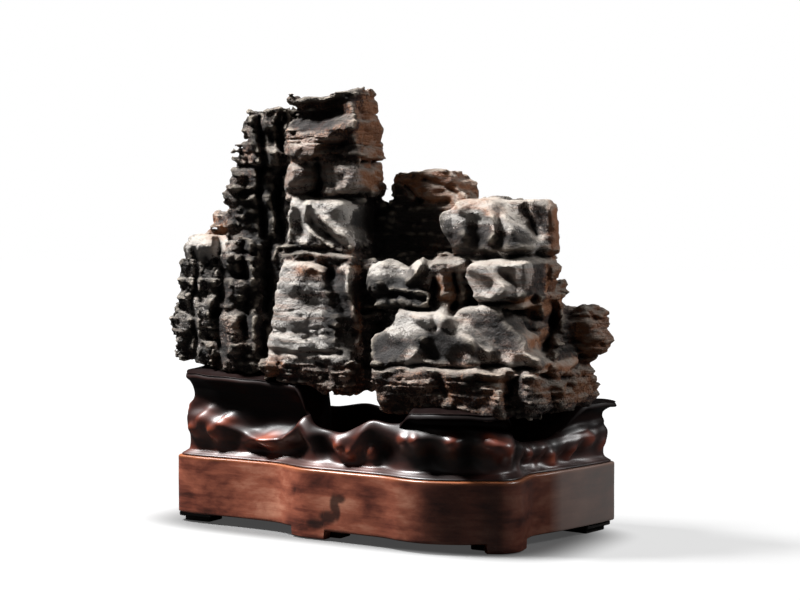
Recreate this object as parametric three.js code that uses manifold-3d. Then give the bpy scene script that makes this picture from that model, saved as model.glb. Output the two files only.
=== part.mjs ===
// A scholar's rock on its carved hardwood stand: one weathered stone, the rockwork socket it
// rests in, the lobed plinth below, and six small blocks for feet.  Millimetres, +Z up, the
// long side along X, the front towards -Y.  The origin is under the middle, on the table.

import * as THREE from 'three';
import { mergeVertices } from 'three/addons/utils/BufferGeometryUtils.js';
import Module from 'manifold-3d';

const wasm = await Module();
wasm.setup();

// Heights above the table.
const PLINTH_BOTTOM = 6.5;
const PLINTH_TOP = 46.5;
const DROP_BOTTOM = 0.6;
const FOOT_TOP = PLINTH_BOTTOM - 0.3;
const FOOT_STEP = 3.4;

// Gaps and wall sizes.
const GAP = 0.3;
const DROP_THICKNESS = 8;
const FOOT_INSET = 3;
const RIM_HEIGHT = 31;
const RIM_WAVE = 3.5;
const WAIST_INSET = 6;
const LIP_FLARE = 3;

// Stations along the outline.
const PLINTH_STATIONS = 120;
const RIM_STATIONS = 112;
const PILLAR_STATIONS = 40;

// The lobed outline of the plinth, seen from above and run anticlockwise from its left front.
const PLINTH_OUTLINE = [
  [-138, -44], [-134, -51], [-119, -54], [-77, -54.5], [-48, -57], [-33, -63], [-20, -67.5],
  [0, -68.5], [27, -70], [45, -71.5], [60, -75.5], [78, -76.5], [99, -69.5], [112, -61],
  [124, -54.5], [129, -44], [127, -27], [126, -18], [128, -9], [134, 10], [140, 35],
  [145, 62], [145, 71], [138, 75], [118, 76], [88, 73], [64, 67], [40, 65.5], [12, 70],
  [-20, 75], [-58, 76], [-86, 70], [-104, 61], [-120, 57], [-133, 50], [-141, 38],
  [-146, 20], [-145, 2], [-139, -12], [-137, -26],
];

// Footprints of the three pillars that carry the stone, anticlockwise from their left front.
const LEFT_PILLAR = [
  [-131, -43], [-110, -47], [-80, -47], [-52, -46], [-31, -42], [-40, -20], [-56, 4],
  [-74, 30], [-92, 48], [-118, 47], [-132, 34], [-137, 10], [-133, -22],
];
const FRONT_RIGHT_PILLAR = [
  [50, -62], [66, -67], [84, -67], [100, -61], [114, -51], [121, -40], [117, -22], [98, -14],
  [72, -16], [52, -30], [45, -47],
];
const RIGHT_BACK_PILLAR = [
  [104, 22], [118, 14], [132, 18], [139, 38], [144, 56], [140, 66], [118, 68], [88, 65],
  [66, 58], [62, 42], [80, 30],
];

function material(colour, roughness) {
  return new THREE.MeshStandardMaterial({ color: colour, roughness, metalness: 0 });
}

const STONE_FINISH = material(0x5d5650, 0.8);
const CARVED_WOOD = material(0x2e1511, 0.25);
const PLINTH_WOOD = material(0x6e3520, 0.4);
const FOOT_WOOD = material(0x15110f, 0.6);

// Closed geometry to solid, and back.
function toSolid(geometry) {
  const bare = geometry.index ? geometry.clone() : geometry;
  bare.deleteAttribute('normal');
  bare.deleteAttribute('uv');
  const merged = mergeVertices(bare, 1e-4);
  const vertProperties = new Float32Array(merged.attributes.position.array);
  const triVerts = new Uint32Array(merged.index.array);
  return new wasm.Manifold(new wasm.Mesh({ numProp: 3, vertProperties, triVerts }));
}

function toGeometry(solid) {
  const mesh = solid.getMesh();
  const geometry = new THREE.BufferGeometry();
  geometry.setAttribute('position', new THREE.BufferAttribute(mesh.vertProperties, 3));
  geometry.setIndex(new THREE.BufferAttribute(mesh.triVerts, 1));
  geometry.computeVertexNormals();
  return geometry;
}

function namedMesh(name, geometry, finish) {
  const mesh = new THREE.Mesh(geometry, finish);
  mesh.name = name;
  return mesh;
}

// A closed smooth curve through the points, as evenly spaced points.
function smoothLoop(points, count) {
  const through = points.map(([x, y]) => new THREE.Vector3(x, y, 0));
  const curve = new THREE.CatmullRomCurve3(through, true, 'centripetal');
  return curve.getSpacedPoints(count).slice(0, count);
}

// Moves a point of the outline inwards, towards the long middle line of the stand.
function inwards(point, distance) {
  const towards = new THREE.Vector3(0.55 * point.x, 0, 0).sub(point).normalize();
  return point.clone().addScaledVector(towards, distance);
}

function upright(loop, bottom, top) {
  const shape = new THREE.Shape(loop.map((point) => new THREE.Vector2(point.x, point.y)));
  const geometry = new THREE.ExtrudeGeometry(shape, { depth: top - bottom, bevelEnabled: false });
  return geometry.translate(0, 0, bottom);
}

function box(xRange, yRange, zRange) {
  const size = [xRange, yRange, zRange].map(([low, high]) => high - low);
  const middle = [xRange, yRange, zRange].map(([low, high]) => (low + high) / 2);
  return new THREE.BoxGeometry(...size).translate(...middle);
}

// A closed skin of quads over rows of points.  Each row is a closed loop.  With closedRows the
// last row joins the first, as round a ring; without it flat lids close the two ends.
function skin(rows, closedRows) {
  const count = rows[0].length;
  const positions = rows.flat().flatMap((point) => [point.x, point.y, point.z]);
  const faces = [];
  const steps = closedRows ? rows.length : rows.length - 1;
  for (let row = 0; row < steps; row += 1) {
    const here = row * count;
    const above = ((row + 1) % rows.length) * count;
    for (let station = 0; station < count; station += 1) {
      const next = (station + 1) % count;
      faces.push(here + station, here + next, above + next);
      faces.push(here + station, above + next, above + station);
    }
  }
  if (!closedRows) {
    const top = (rows.length - 1) * count;
    const outline = rows[0].map((point) => new THREE.Vector2(point.x, point.y));
    const lid = THREE.ShapeUtils.triangulateShape(outline, []);
    for (const [a, b, c] of lid) {
      faces.push(a, c, b);
      faces.push(top + a, top + b, top + c);
    }
  }
  const geometry = new THREE.BufferGeometry();
  geometry.setAttribute('position', new THREE.Float32BufferAttribute(positions, 3));
  geometry.setIndex(faces);
  return geometry;
}

// ---- plinth -----------------------------------------------------------------------------

// The drops are short tongues of the plinth's wall that come down to the table: one at the
// middle of the front, one round the right front corner, and their opposites at the back.
const DROP_ZONES = [
  [[-31, -2], [-80, -40]],
  [[114, 135], [-66, -29]],
  [[-14, 22], [50, 90]],
  [[-150, -112], [34, 66]],
];

function plinth() {
  const loop = smoothLoop(PLINTH_OUTLINE, PLINTH_STATIONS);
  const inner = loop.map((point) => inwards(point, DROP_THICKNESS));
  const wall = toSolid(upright(loop, PLINTH_BOTTOM, PLINTH_TOP));
  const skirt = toSolid(upright(loop, DROP_BOTTOM, PLINTH_BOTTOM + 1));
  const hollow = toSolid(upright(inner, 0, PLINTH_BOTTOM));
  const apron = skirt.subtract(hollow);
  let solid = wall;
  for (const [xRange, yRange] of DROP_ZONES) {
    const zone = toSolid(box(xRange, yRange, [0, PLINTH_BOTTOM + 2]));
    solid = solid.add(apron.intersect(zone));
  }
  return namedMesh('plinth', toGeometry(solid), PLINTH_WOOD);
}

// ---- feet -------------------------------------------------------------------------------

// Each foot is a small stepped block: name, middle, size along X and Y, and turn in degrees.
const FEET = [
  ['foot_front_left', -121.5, -39, 27, 22, 0],
  ['foot_front_middle', -5, -49.5, 22, 19, 0],
  ['foot_front_right', 103, -39.5, 20, 22, 0],
  ['foot_back_right', 129, 55, 26, 29, -9],
  ['foot_back_middle', 2, 51, 24, 20, 0],
  ['foot_back_left', -113, 28, 24, 24, 0],
];

function foot([name, x, y, length, width, turn]) {
  const upper = [[-length / 2, length / 2], [-width / 2, width / 2], [FOOT_STEP, FOOT_TOP]];
  const halfLength = length / 2 - FOOT_INSET;
  const halfWidth = width / 2 - FOOT_INSET;
  const lower = [[-halfLength, halfLength], [-halfWidth, halfWidth], [0, FOOT_STEP + 1]];
  const solid = toSolid(box(...upper)).add(toSolid(box(...lower)));
  const mesh = namedMesh(name, toGeometry(solid), FOOT_WOOD);
  mesh.rotation.z = THREE.MathUtils.degToRad(turn);
  mesh.position.set(x, y, 0);
  return mesh;
}

// ---- carved socket ----------------------------------------------------------------------

// The low rim: a flared foot, a waist, a belly and a wavy crest, then down its inner side.
// Each step is how far in from the plinth's edge, and how high as a share of the crest.
const RIM_PROFILE = [
  [3, 0], [3, 0.1], [7, 0.26], [5, 0.5], [7, 0.72], [10, 0.94], [13, 1], [17, 0.92],
  [20, 0.6], [22, 0.3], [24, 0],
];

function rimSolid() {
  const loop = smoothLoop(PLINTH_OUTLINE, RIM_STATIONS);
  const floor = PLINTH_TOP + GAP;
  const rows = RIM_PROFILE.map(([inset, share]) => loop.map((point, station) => {
    const turn = (station / RIM_STATIONS) * Math.PI * 2;
    const crest = RIM_HEIGHT + RIM_WAVE * Math.sin(11 * turn) + RIM_WAVE * 0.5 * Math.sin(7 * turn);
    const moved = inwards(point, inset);
    moved.z = floor + share * crest;
    return moved;
  }));
  return toSolid(skin(rows, true));
}

// A pillar: the footprint drawn in at the waist and flared out again to a lip.  The lip's
// height runs in a straight line along X, from its left end to its right end.
function pillarSolid(footprint, leftTop, rightTop) {
  const loop = smoothLoop(footprint, PILLAR_STATIONS);
  const middle = loop.reduce((sum, point) => sum.add(point), new THREE.Vector3());
  middle.divideScalar(loop.length);
  const left = Math.min(...loop.map((point) => point.x));
  const right = Math.max(...loop.map((point) => point.x));
  const floor = PLINTH_TOP + GAP;
  const steps = [
    [0, 0], [0, 0.15], [-WAIST_INSET * 0.7, 0.4], [-WAIST_INSET, 0.62],
    [-WAIST_INSET * 0.5, 0.82], [LIP_FLARE, 0.94], [LIP_FLARE * 0.7, 1],
  ];
  const rows = steps.map(([outset, share]) => loop.map((point) => {
    const outwards = point.clone().sub(middle).normalize();
    const moved = point.clone().addScaledVector(outwards, outset);
    const along = (point.x - left) / (right - left);
    moved.z = floor + share * (leftTop + along * (rightTop - leftTop) - floor);
    return moved;
  }));
  return toSolid(skin(rows, false));
}

function standTop(stone) {
  let solid = rimSolid();
  solid = solid.add(pillarSolid(LEFT_PILLAR, 114, 98.5));
  solid = solid.add(pillarSolid(FRONT_RIGHT_PILLAR, 88.5, 89));
  solid = solid.add(pillarSolid(RIGHT_BACK_PILLAR, 94.5, 89));
  const clearances = [[0, 0, -GAP], [GAP, 0, -GAP], [-GAP, 0, -GAP], [0, GAP, -GAP], [0, -GAP, -GAP]];
  for (const shift of clearances) {
    solid = solid.subtract(stone.translate(shift));
  }
  return namedMesh('stand_top', toGeometry(solid), CARVED_WOOD);
}

// ---- stone ------------------------------------------------------------------------------

// One stone, described as the joint-bounded blocks it weathered into.  Each block gives its
// X, Y and Z ranges, and where needed: inset, how far its left, right, front and back faces
// lean in at the top; tilt, how much its top rises along X and Y; under, the same below.
const BLOCKS = {
  // the stack of cracked blocks at the left end
  stackFoot: { x: [-149, -116], y: [-34, 18], z: [110, 127], inset: [-3, 0, 0, 0], under: [-4, 0] },
  stackLow: { x: [-153, -116], y: [-36, 20], z: [127.5, 144], inset: [1, 0, 1, 0] },
  stackMiddle: { x: [-152, -112], y: [-36, 20], z: [144.5, 160], inset: [-1, 0, 0, 0] },
  stackHigh: { x: [-152, -112], y: [-34, 16], z: [160.5, 180], inset: [3, 0, 1, 0] },
  stackTop: { x: [-145, -108], y: [-32, 14], z: [180.5, 199], inset: [1, 2, -1, 0], tilt: [0, -2] },
  // the ribs between the stack and the tower
  ribLow: { x: [-114, -76], y: [-42, 20], z: [106, 143], inset: [0, 3, 4, 0], under: [-3, 0] },
  ribMiddle: { x: [-113, -82], y: [-36, 15], z: [143, 186], inset: [0, 3, 4, 0] },
  ribTop: { x: [-111, -86], y: [-31, 12], z: [184, 200], inset: [1, 1, 1, 0] },
  deepWall: { x: [-106, -62], y: [-16, 25], z: [118, 252], inset: [4, 0, 4, 0] },
  flankLow: { x: [-115, -90], y: [-16, 24], z: [196, 230], inset: [2, 0, 0, 0] },
  flankTop: { x: [-113, -82], y: [-18, 20], z: [228, 268], inset: [13, 0, 2, 0] },
  crestLeft: { x: [-95, -64], y: [-23, 12], z: [250, 288], inset: [3, 1, 1, 0], tilt: [3, 0] },
  // the shelves behind the stack
  rearWall: { x: [-150, -105], y: [8, 40], z: [112, 198], inset: [3, 0, 0, 3] },
  rearShelfLow: { x: [-158, -115], y: [14, 42], z: [196, 206] },
  rearShelf: { x: [-156, -112], y: [17, 42], z: [206, 220], inset: [1, 0, 0, 0] },
  rearShelfTop: { x: [-147, -108], y: [19, 42], z: [218, 228], inset: [2, 0, 0, 0] },
  // the tower
  towerFoot: { x: [-68, 3], y: [-42, 38], z: [97, 116], inset: [0, 0, -2, 0], under: [-10, 0] },
  towerBase: { x: [-68, 2], y: [-45, 40], z: [115, 134], inset: [2, 1, 1, 0] },
  shaft: { x: [-65, 1], y: [-43, 30], z: [134, 182], inset: [10, 4, 3, 0] },
  ledge: { x: [-60, -1], y: [-36, 28], z: [182, 195], inset: [0, 1, 2, 0] },
  saddle: { x: [-58, -1], y: [-35, 12], z: [194, 228], inset: [1, 8, 2, 0] },
  waist: { x: [-66, -1], y: [-27, 14], z: [228, 254], inset: [2, 0, -1, 0] },
  cap: { x: [-60, 1], y: [-29, 11], z: [254, 298], inset: [0, 9, 0, 4], tilt: [8, 0] },
  // the right wing
  gullyWall: { x: [-12, 14], y: [-26, 30], z: [93, 184] },
  skirt: { x: [27, 134], y: [-57, 35], z: [86, 118], inset: [1, 6, 1, 0] },
  skirtTop: { x: [22, 104], y: [-53, 30], z: [115, 136], inset: [1, 8, 2, 0] },
  dome: { x: [36, 106], y: [-50, 10], z: [132, 153], inset: [12, 28, 8, 0] },
  slope: { x: [80, 148], y: [-43, 15], z: [116, 159], inset: [0, 50, 6, 0] },
  shelfLow: { x: [10, 66], y: [-41, 10], z: [150, 166], inset: [0, 2, 0, 0] },
  shelfTop: { x: [8, 58], y: [-39, 8], z: [165, 184], inset: [0, 0, 3, 0] },
  paleRib: { x: [54, 80], y: [-32, 8], z: [148, 187], inset: [0, 4, 4, 0] },
  saddleRight: { x: [78, 134], y: [-36, 15], z: [157, 186], inset: [-2, 4, 1, 0] },
  endRib: { x: [112, 129], y: [-2, 27], z: [158, 187] },
  hollowRock: { x: [104, 144], y: [-14, 24], z: [128, 162], inset: [0, 14, 4, 0] },
  knob: { x: [127, 157], y: [15, 46], z: [118, 158], inset: [0, 4, 0, 2] },
  heel: { x: [122, 150], y: [-26, 42], z: [87, 126], inset: [0, 9, 3, 4] },
  drape: { x: [54, 110], y: [-31, 15], z: [186, 222], inset: [6, 14, 6, 0] },
  drapeEnd: { x: [97, 130], y: [-6, 26], z: [186, 223], inset: [0, 3, 0, 2] },
  lumps: { x: [74, 99], y: [-5, 22], z: [205, 226], inset: [2, 2, 2, 2] },
  summit: { x: [4, 74], y: [6, 42], z: [183, 245], inset: [4, 34, 2, 4] },
  // the core and the rougher back
  coreLow: { x: [-118, 130], y: [-16, 38], z: [98, 150], under: [-12, 0] },
  coreHigh: { x: [-108, 116], y: [-8, 34], z: [148, 188] },
  backLeft: { x: [-122, -70], y: [18, 45], z: [108, 172], inset: [2, 0, 0, 6] },
  backTowerLow: { x: [-72, -20], y: [22, 48], z: [98, 192], inset: [0, 3, 0, 8] },
  backTowerHigh: { x: [-92, -38], y: [4, 32], z: [184, 248], inset: [4, 3, 0, 6] },
  backMiddle: { x: [-22, 32], y: [26, 46], z: [96, 178], inset: [0, 0, 0, 4] },
  backWing: { x: [30, 82], y: [24, 50], z: [92, 204], inset: [0, 3, 0, 8] },
  backRight: { x: [80, 124], y: [22, 47], z: [94, 168], inset: [0, 3, 0, 6] },
};

// Hollows that weather has eaten into the blocks: middle, and half sizes along X, Y and Z.
const HOLLOWS = [
  [-38, -33, 277, 19, 11, 12],
  [-18, -40, 212, 15, 9, 14],
  [72, -36, 196, 20, 9, 10],
  [108, -40, 180, 16, 9, 12],
  [118, -22, 146, 11, 12, 8],
  [121, -8, 205, 12, 8, 13],
  [24, -48, 183, 14, 12, 9],
];

function blockSolid({ x, y, z, inset = [0, 0, 0, 0], tilt = [0, 0], under = [0, 0] }) {
  const geometry = new THREE.BoxGeometry(1, 1, 1);
  const corners = geometry.attributes.position;
  for (let corner = 0; corner < corners.count; corner += 1) {
    const right = corners.getX(corner) > 0;
    const back = corners.getY(corner) > 0;
    const top = corners.getZ(corner) > 0;
    const leanX = right ? -inset[1] : inset[0];
    const leanY = back ? -inset[3] : inset[2];
    const slopes = top ? tilt : under;
    const slope = (right ? 0.5 : -0.5) * slopes[0] + (back ? 0.5 : -0.5) * slopes[1];
    const cornerX = x[right ? 1 : 0] + (top ? leanX : 0);
    const cornerY = y[back ? 1 : 0] + (top ? leanY : 0);
    corners.setXYZ(corner, cornerX, cornerY, z[top ? 1 : 0] + slope);
  }
  return toSolid(geometry);
}

function hollowSolid([x, y, z, halfX, halfY, halfZ]) {
  const geometry = new THREE.SphereGeometry(1, 14, 10);
  geometry.scale(halfX, halfY, halfZ);
  geometry.translate(x, y, z);
  return toSolid(geometry);
}

function stoneSolid() {
  let solid = null;
  for (const block of Object.values(BLOCKS)) {
    const piece = blockSolid(block);
    solid = solid ? solid.add(piece) : piece;
  }
  for (const hollow of HOLLOWS) {
    solid = solid.subtract(hollowSolid(hollow));
  }
  return solid;
}

// ---- the whole object -------------------------------------------------------------------

// Centres the object over the origin, so that the middle of its base is the origin.
function centred(group) {
  group.updateMatrixWorld(true);
  const bounds = new THREE.Box3().setFromObject(group, true);
  const middle = bounds.getCenter(new THREE.Vector3());
  group.position.set(-middle.x, -middle.y, -bounds.min.z);
  return group;
}

const stone = stoneSolid();
const rockAndStand = new THREE.Group();
rockAndStand.add(namedMesh('stone', toGeometry(stone), STONE_FINISH));
rockAndStand.add(standTop(stone));
rockAndStand.add(plinth());
for (const each of FEET) {
  rockAndStand.add(foot(each));
}

export default centred(rockAndStand);
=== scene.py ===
# A scholar's rock on its carved hardwood stand, on a white table.

import math

import bpy
import numpy as np
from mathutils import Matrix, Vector


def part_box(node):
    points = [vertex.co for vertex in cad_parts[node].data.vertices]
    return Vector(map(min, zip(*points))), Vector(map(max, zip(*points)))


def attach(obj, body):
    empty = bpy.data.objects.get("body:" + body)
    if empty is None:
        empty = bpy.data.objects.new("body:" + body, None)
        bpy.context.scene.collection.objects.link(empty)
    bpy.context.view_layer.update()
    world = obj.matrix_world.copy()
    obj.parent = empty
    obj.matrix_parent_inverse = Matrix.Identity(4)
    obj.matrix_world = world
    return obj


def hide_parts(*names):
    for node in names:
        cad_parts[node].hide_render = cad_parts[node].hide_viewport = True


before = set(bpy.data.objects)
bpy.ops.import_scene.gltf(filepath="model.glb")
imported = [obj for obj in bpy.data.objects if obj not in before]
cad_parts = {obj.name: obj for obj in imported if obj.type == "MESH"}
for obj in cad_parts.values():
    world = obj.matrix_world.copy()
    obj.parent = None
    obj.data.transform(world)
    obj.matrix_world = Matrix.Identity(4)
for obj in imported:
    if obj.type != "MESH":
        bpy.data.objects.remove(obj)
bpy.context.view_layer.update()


# ---- Studio ------------------------------------------------------------------------------
# A white table, a long lens a little above the plinth, a small strong light high on the left,
# a weaker one from the right that draws the soft shine on the wood, and a faint one in front.

CAMERA_TURN = math.radians(30)
CAMERA_DIP = 0.045
CAMERA_DISTANCE = 1.2248
CAMERA_AIM = Vector((0.0127, 0.0073, 0.1566))
CAMERA_AHEAD = Vector((
    -math.sin(CAMERA_TURN) * math.cos(CAMERA_DIP),
    math.cos(CAMERA_TURN) * math.cos(CAMERA_DIP),
    -math.sin(CAMERA_DIP),
))
LENS_MM = 80.0
LIGHT_AIM = Vector((0.0, 0.0, 0.14))
# Each light: where it stands, its width and height, and its power.
LIGHTS = {
    "key": ((-0.64, -0.28, 1.24), (0.24, 0.24), 56.0),
    "side": ((1.15, 0.5, 0.85), (0.4, 0.4), 10.0),
    "front": ((-0.3, -1.8, 0.7), (1.0, 0.6), 0.6),
}
WHITE = (1, 1, 1, 1)


def linear(hex_colour):
    """An sRGB hex colour such as "6b6763" as linear red, green and blue, and a full alpha."""
    srgb = np.array([int(hex_colour[i : i + 2], 16) for i in (0, 2, 4)]) / 255
    rgb = np.where(srgb <= 0.04045, srgb / 12.92, ((srgb + 0.055) / 1.055) ** 2.4)
    return (*rgb.tolist(), 1.0)


def fill(made, settings, links):
    """Puts settings on a node's properties or its sockets, and joins the links to sockets."""
    for key, value in settings.items():
        if isinstance(key, int) or key in made.inputs:
            made.inputs[key].default_value = value
        else:
            setattr(made, key, value)
    for key, source in links.items():
        made.id_data.links.new(source, made.inputs[key])


def node(owner, kind, settings, links, out=0, stops=()):
    """Adds one node with its settings and links, and its colour stops if it is a ramp, and
    returns one of its outputs."""
    made = owner.node_tree.nodes.new("ShaderNode" + kind)
    fill(made, settings, links)
    if stops:
        elements = made.color_ramp.elements
        elements.remove(elements[1])
        elements[0].position, elements[0].color = stops[0][0], linear(stops[0][1])
        for position, colour in stops[1:]:
            elements.new(position).color = linear(colour)
    return made.outputs[out]


def new_material(name):
    """An empty node material, its shader, and the place of each point on the object."""
    material = bpy.data.materials.new(name)
    material.use_nodes = True
    shader = material.node_tree.nodes["Principled BSDF"]
    return material, shader, node(material, "TexCoord", {}, {}, "Object")


def link_object(name, data):
    """Puts a new object into the scene."""
    made = bpy.data.objects.new(name, data)
    bpy.context.collection.objects.link(made)
    return made


def add_camera():
    """A camera that looks at the aim point along the chosen turn and dip."""
    data = bpy.data.cameras.new("camera")
    data.lens = LENS_MM
    data.sensor_width = 36.0
    data.clip_end = 50.0
    camera = link_object("camera", data)
    camera.location = CAMERA_AIM - CAMERA_AHEAD * CAMERA_DISTANCE
    camera.rotation_euler = CAMERA_AHEAD.to_track_quat("-Z", "Y").to_euler()
    bpy.context.scene.camera = camera


def add_light(name, location, size, power):
    """A rectangular soft light that faces the aim point."""
    data = bpy.data.lights.new(name, "AREA")
    data.shape = "RECTANGLE"
    data.size, data.size_y = size
    data.energy = power
    lamp = link_object(name, data)
    lamp.location = location
    lamp.rotation_euler = (LIGHT_AIM - Vector(location)).to_track_quat("-Z", "Y").to_euler()


# One over the half length and half depth of the table under the stand, where the glow is
# dimmed to a painted shadow.
UNDER_STAND = (1 / 0.156, 1 / 0.076, 0)


def white_card():
    """Matt white card, lit from within for the eye only, and more so far out, so that it stays
    white into the distance while the shadow stays pale; under the stand the glow is dimmed to a
    painted shadow."""
    card, shader, place = new_material("matt white card")
    seen = node(card, "LightPath", {}, {}, "Is Camera Ray")
    away = node(card, "VectorMath", {"operation": "LENGTH"}, {0: place}, "Value")
    level = node(card, "MapRange",
                 {"From Min": 0.3, "From Max": 1.1, "To Min": 0.70, "To Max": 1.0},
                 {"Value": away})
    scaled = node(card, "VectorMath", {"operation": "MULTIPLY", 1: UNDER_STAND}, {0: place})
    squared = node(card, "VectorMath", {"operation": "MULTIPLY"}, {0: scaled, 1: scaled})
    beyond = node(card, "VectorMath", {"operation": "LENGTH"}, {0: squared}, "Value")
    # Painted shadow: the glow falls nearly to nothing under the stand.
    outside_painted_shade = node(card, "MapRange",
                    {"interpolation_type": "SMOOTHSTEP", "From Min": 0.72, "From Max": 1.35,
                     "To Min": 0.08},
                    {"Value": beyond})
    reached = node(card, "Math", {"operation": "MULTIPLY"}, {0: level, 1: outside_painted_shade})
    glow = node(card, "Math", {"operation": "MULTIPLY"}, {0: seen, 1: reached})
    tone = node(card, "Mix", {"data_type": "RGBA", 6: linear("303030"), 7: linear("686868")},
                {0: seen}, 2)
    fill(shader, {"Roughness": 0.9, "Specular IOR Level": 0.1, "Emission Color": WHITE},
         {"Emission Strength": glow, "Base Color": tone})
    return card


def add_table():
    """The white table top, a wide thin sheet that the shadow falls on."""
    mesh = bpy.data.meshes.new("table_top")
    half = 6.0
    corners = [(-half, -half, 0), (half, -half, 0), (half, half, 0), (-half, half, 0)]
    mesh.from_pydata(corners, [], [(0, 1, 2, 3)])
    table = link_object("table_top", mesh)
    mesh.materials.append(white_card())


def add_world():
    """White surroundings: bright behind the object, dimmer as a light on it."""
    world = bpy.data.worlds.new("white studio")
    bpy.context.scene.world = world
    world.use_nodes = True
    nodes = world.node_tree.nodes
    fill(nodes["Background"], {"Color": WHITE, "Strength": 1.0}, {})
    lit = node(world, "Background", {"Color": WHITE, "Strength": 0.03}, {})
    seen = node(world, "LightPath", {}, {}, "Is Camera Ray")
    mixed = node(world, "MixShader", {}, {0: seen, 1: lit, 2: nodes["Background"].outputs[0]})
    fill(nodes["World Output"], {}, {"Surface": mixed})


add_camera()
for light_name, (light_place, light_size, light_power) in LIGHTS.items():
    add_light(light_name, light_place, light_size, light_power)
add_table()
add_world()
bpy.context.scene.view_settings.view_transform = "Standard"


# ---- Plinth ------------------------------------------------------------------------------
# The base board: a slab of hardwood sawn to a soft lobed outline, with a thin worn edge on
# top and four short drops left standing where its wall comes down to the table.

MM = 0.001
OUTLINE = np.array([
    (-138, -44), (-134, -51), (-119, -54), (-77, -54.5), (-48, -57), (-33, -63), (-20, -67.5),
    (0, -68.5), (27, -70), (45, -71.5), (60, -75.5), (78, -76.5), (99, -69.5), (112, -61),
    (124, -54.5), (129, -44), (127, -27), (126, -18), (128, -9), (134, 10), (140, 35),
    (145, 62), (145, 71), (138, 75), (118, 76), (88, 73), (64, 67), (40, 65.5), (12, 70),
    (-20, 75), (-58, 76), (-86, 70), (-104, 61), (-120, 57), (-133, 50), (-141, 38),
    (-146, 20), (-145, 2), (-139, -12), (-137, -26),
], float)
PLINTH_STATIONS = 1100
PLINTH_TOP = 46.5
PLINTH_UNDER = 6.5
DROP_UNDER = 0.6
DROP_THICKNESS = 8.0
# Where the drops stand: from and to along X, from and to along Y.
DROP_ZONES = (
    (-31, -2, -80, -40),
    (114, 135, -66, -29),
    (-14, 22, 50, 90),
    (-150, -112, 34, 66),
)
# The blobs that make up the spilt stain: middle along X and up, half width, half height.
SPILL = ((6, 25, 3.5, 7), (10, 29, 5, 3), (1, 16, 7, 4.5), (-8, 11, 8, 3), (8, 20, 3, 6))


def hermite(u, start, leaving, end, arriving):
    """A cubic from start to end that leaves and arrives at the given slopes, u from 0 to 1."""
    return (
        (2 * u**3 - 3 * u**2 + 1) * start + (u**3 - 2 * u**2 + u) * leaving
        + (3 * u**2 - 2 * u**3) * end + (u**3 - u**2) * arriving
    )


def smooth_loop(points, count):
    """A closed curve through the points, each span eased by the square root of the chords
    beside it, then cut into equal lengths.  Returns the points and the whole length."""
    before, here = np.roll(points, 1, 0), points
    after, beyond = np.roll(points, -1, 0), np.roll(points, -2, 0)
    t1, t2, t3 = (
        np.sqrt(np.linalg.norm(b - a, axis=1))[:, None]
        for a, b in ((before, here), (here, after), (after, beyond))
    )
    leave = ((here - before) / t1 - (after - before) / (t1 + t2) + (after - here) / t2) * t2
    arrive = ((after - here) / t2 - (beyond - here) / (t2 + t3) + (beyond - after) / t3) * t2
    u = np.linspace(0, 1, 60, endpoint=False)[None, :, None]
    ends = [side[:, None] for side in (here, leave, after, arrive)]
    curve = hermite(u, *ends).reshape(-1, 2)
    curve = np.vstack([curve, curve[:1]])
    along = np.concatenate([[0], np.cumsum(np.linalg.norm(np.diff(curve, axis=0), axis=1))])
    wanted = np.linspace(0, along[-1], count, endpoint=False)
    return np.stack([np.interp(wanted, along, curve[:, i]) for i in (0, 1)], 1), along[-1]


def inward(loop):
    """Unit steps from each point of the outline towards the long middle line of the stand."""
    step = loop * (0.55, 0.0) - loop
    return step / np.linalg.norm(step, axis=1)[:, None]


def outline_shift():
    """How far the outline's own coordinates are from the frame's, in millimetres."""
    loop, _ = smooth_loop(OUTLINE, 2000)
    low, high = (np.array(corner)[:2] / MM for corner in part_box("plinth"))
    return np.append((low + high) / 2 - (loop.min(0) + loop.max(0)) / 2, 0.0)


SHIFT = outline_shift()


def add_piece(name, points_mm, faces, material, slot, *nodes):
    """Makes a mesh piece from points in the outline's millimetres, and ties it to the frame."""
    mesh = bpy.data.meshes.new(name)
    mesh.from_pydata(((points_mm + SHIFT) * MM).tolist(), [], faces)
    mesh.polygons.foreach_set("use_smooth", [True] * len(mesh.polygons))
    mesh.update()
    piece = link_object(name, mesh)
    mesh.materials.append(material)
    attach(piece, "root")
    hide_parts(*nodes)
    return piece


def grid_faces(rows, count, ring):
    """Quads between neighbouring rows, each a closed loop of count points.  A ring joins its
    last row to its first; otherwise a flat lid closes each end."""
    index = np.arange(rows * count).reshape(rows, count)
    near, far = (index, np.roll(index, -1, 0)) if ring else (index[:-1], index[1:])
    quads = np.stack([near, np.roll(near, -1, 1), np.roll(far, -1, 1), far], -1)
    faces = quads.reshape(-1, 4).tolist()
    if not ring:
        faces += [index[0][::-1].tolist(), index[-1].tolist()]
    return faces


def add_attributes(piece, **values):
    """Stores numbers for each point of the mesh, for the material to read."""
    for name, numbers in values.items():
        layer = piece.data.attributes.new(name, "FLOAT", "POINT")
        layer.data.foreach_set("value", np.asarray(numbers, np.float32).ravel())


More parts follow.
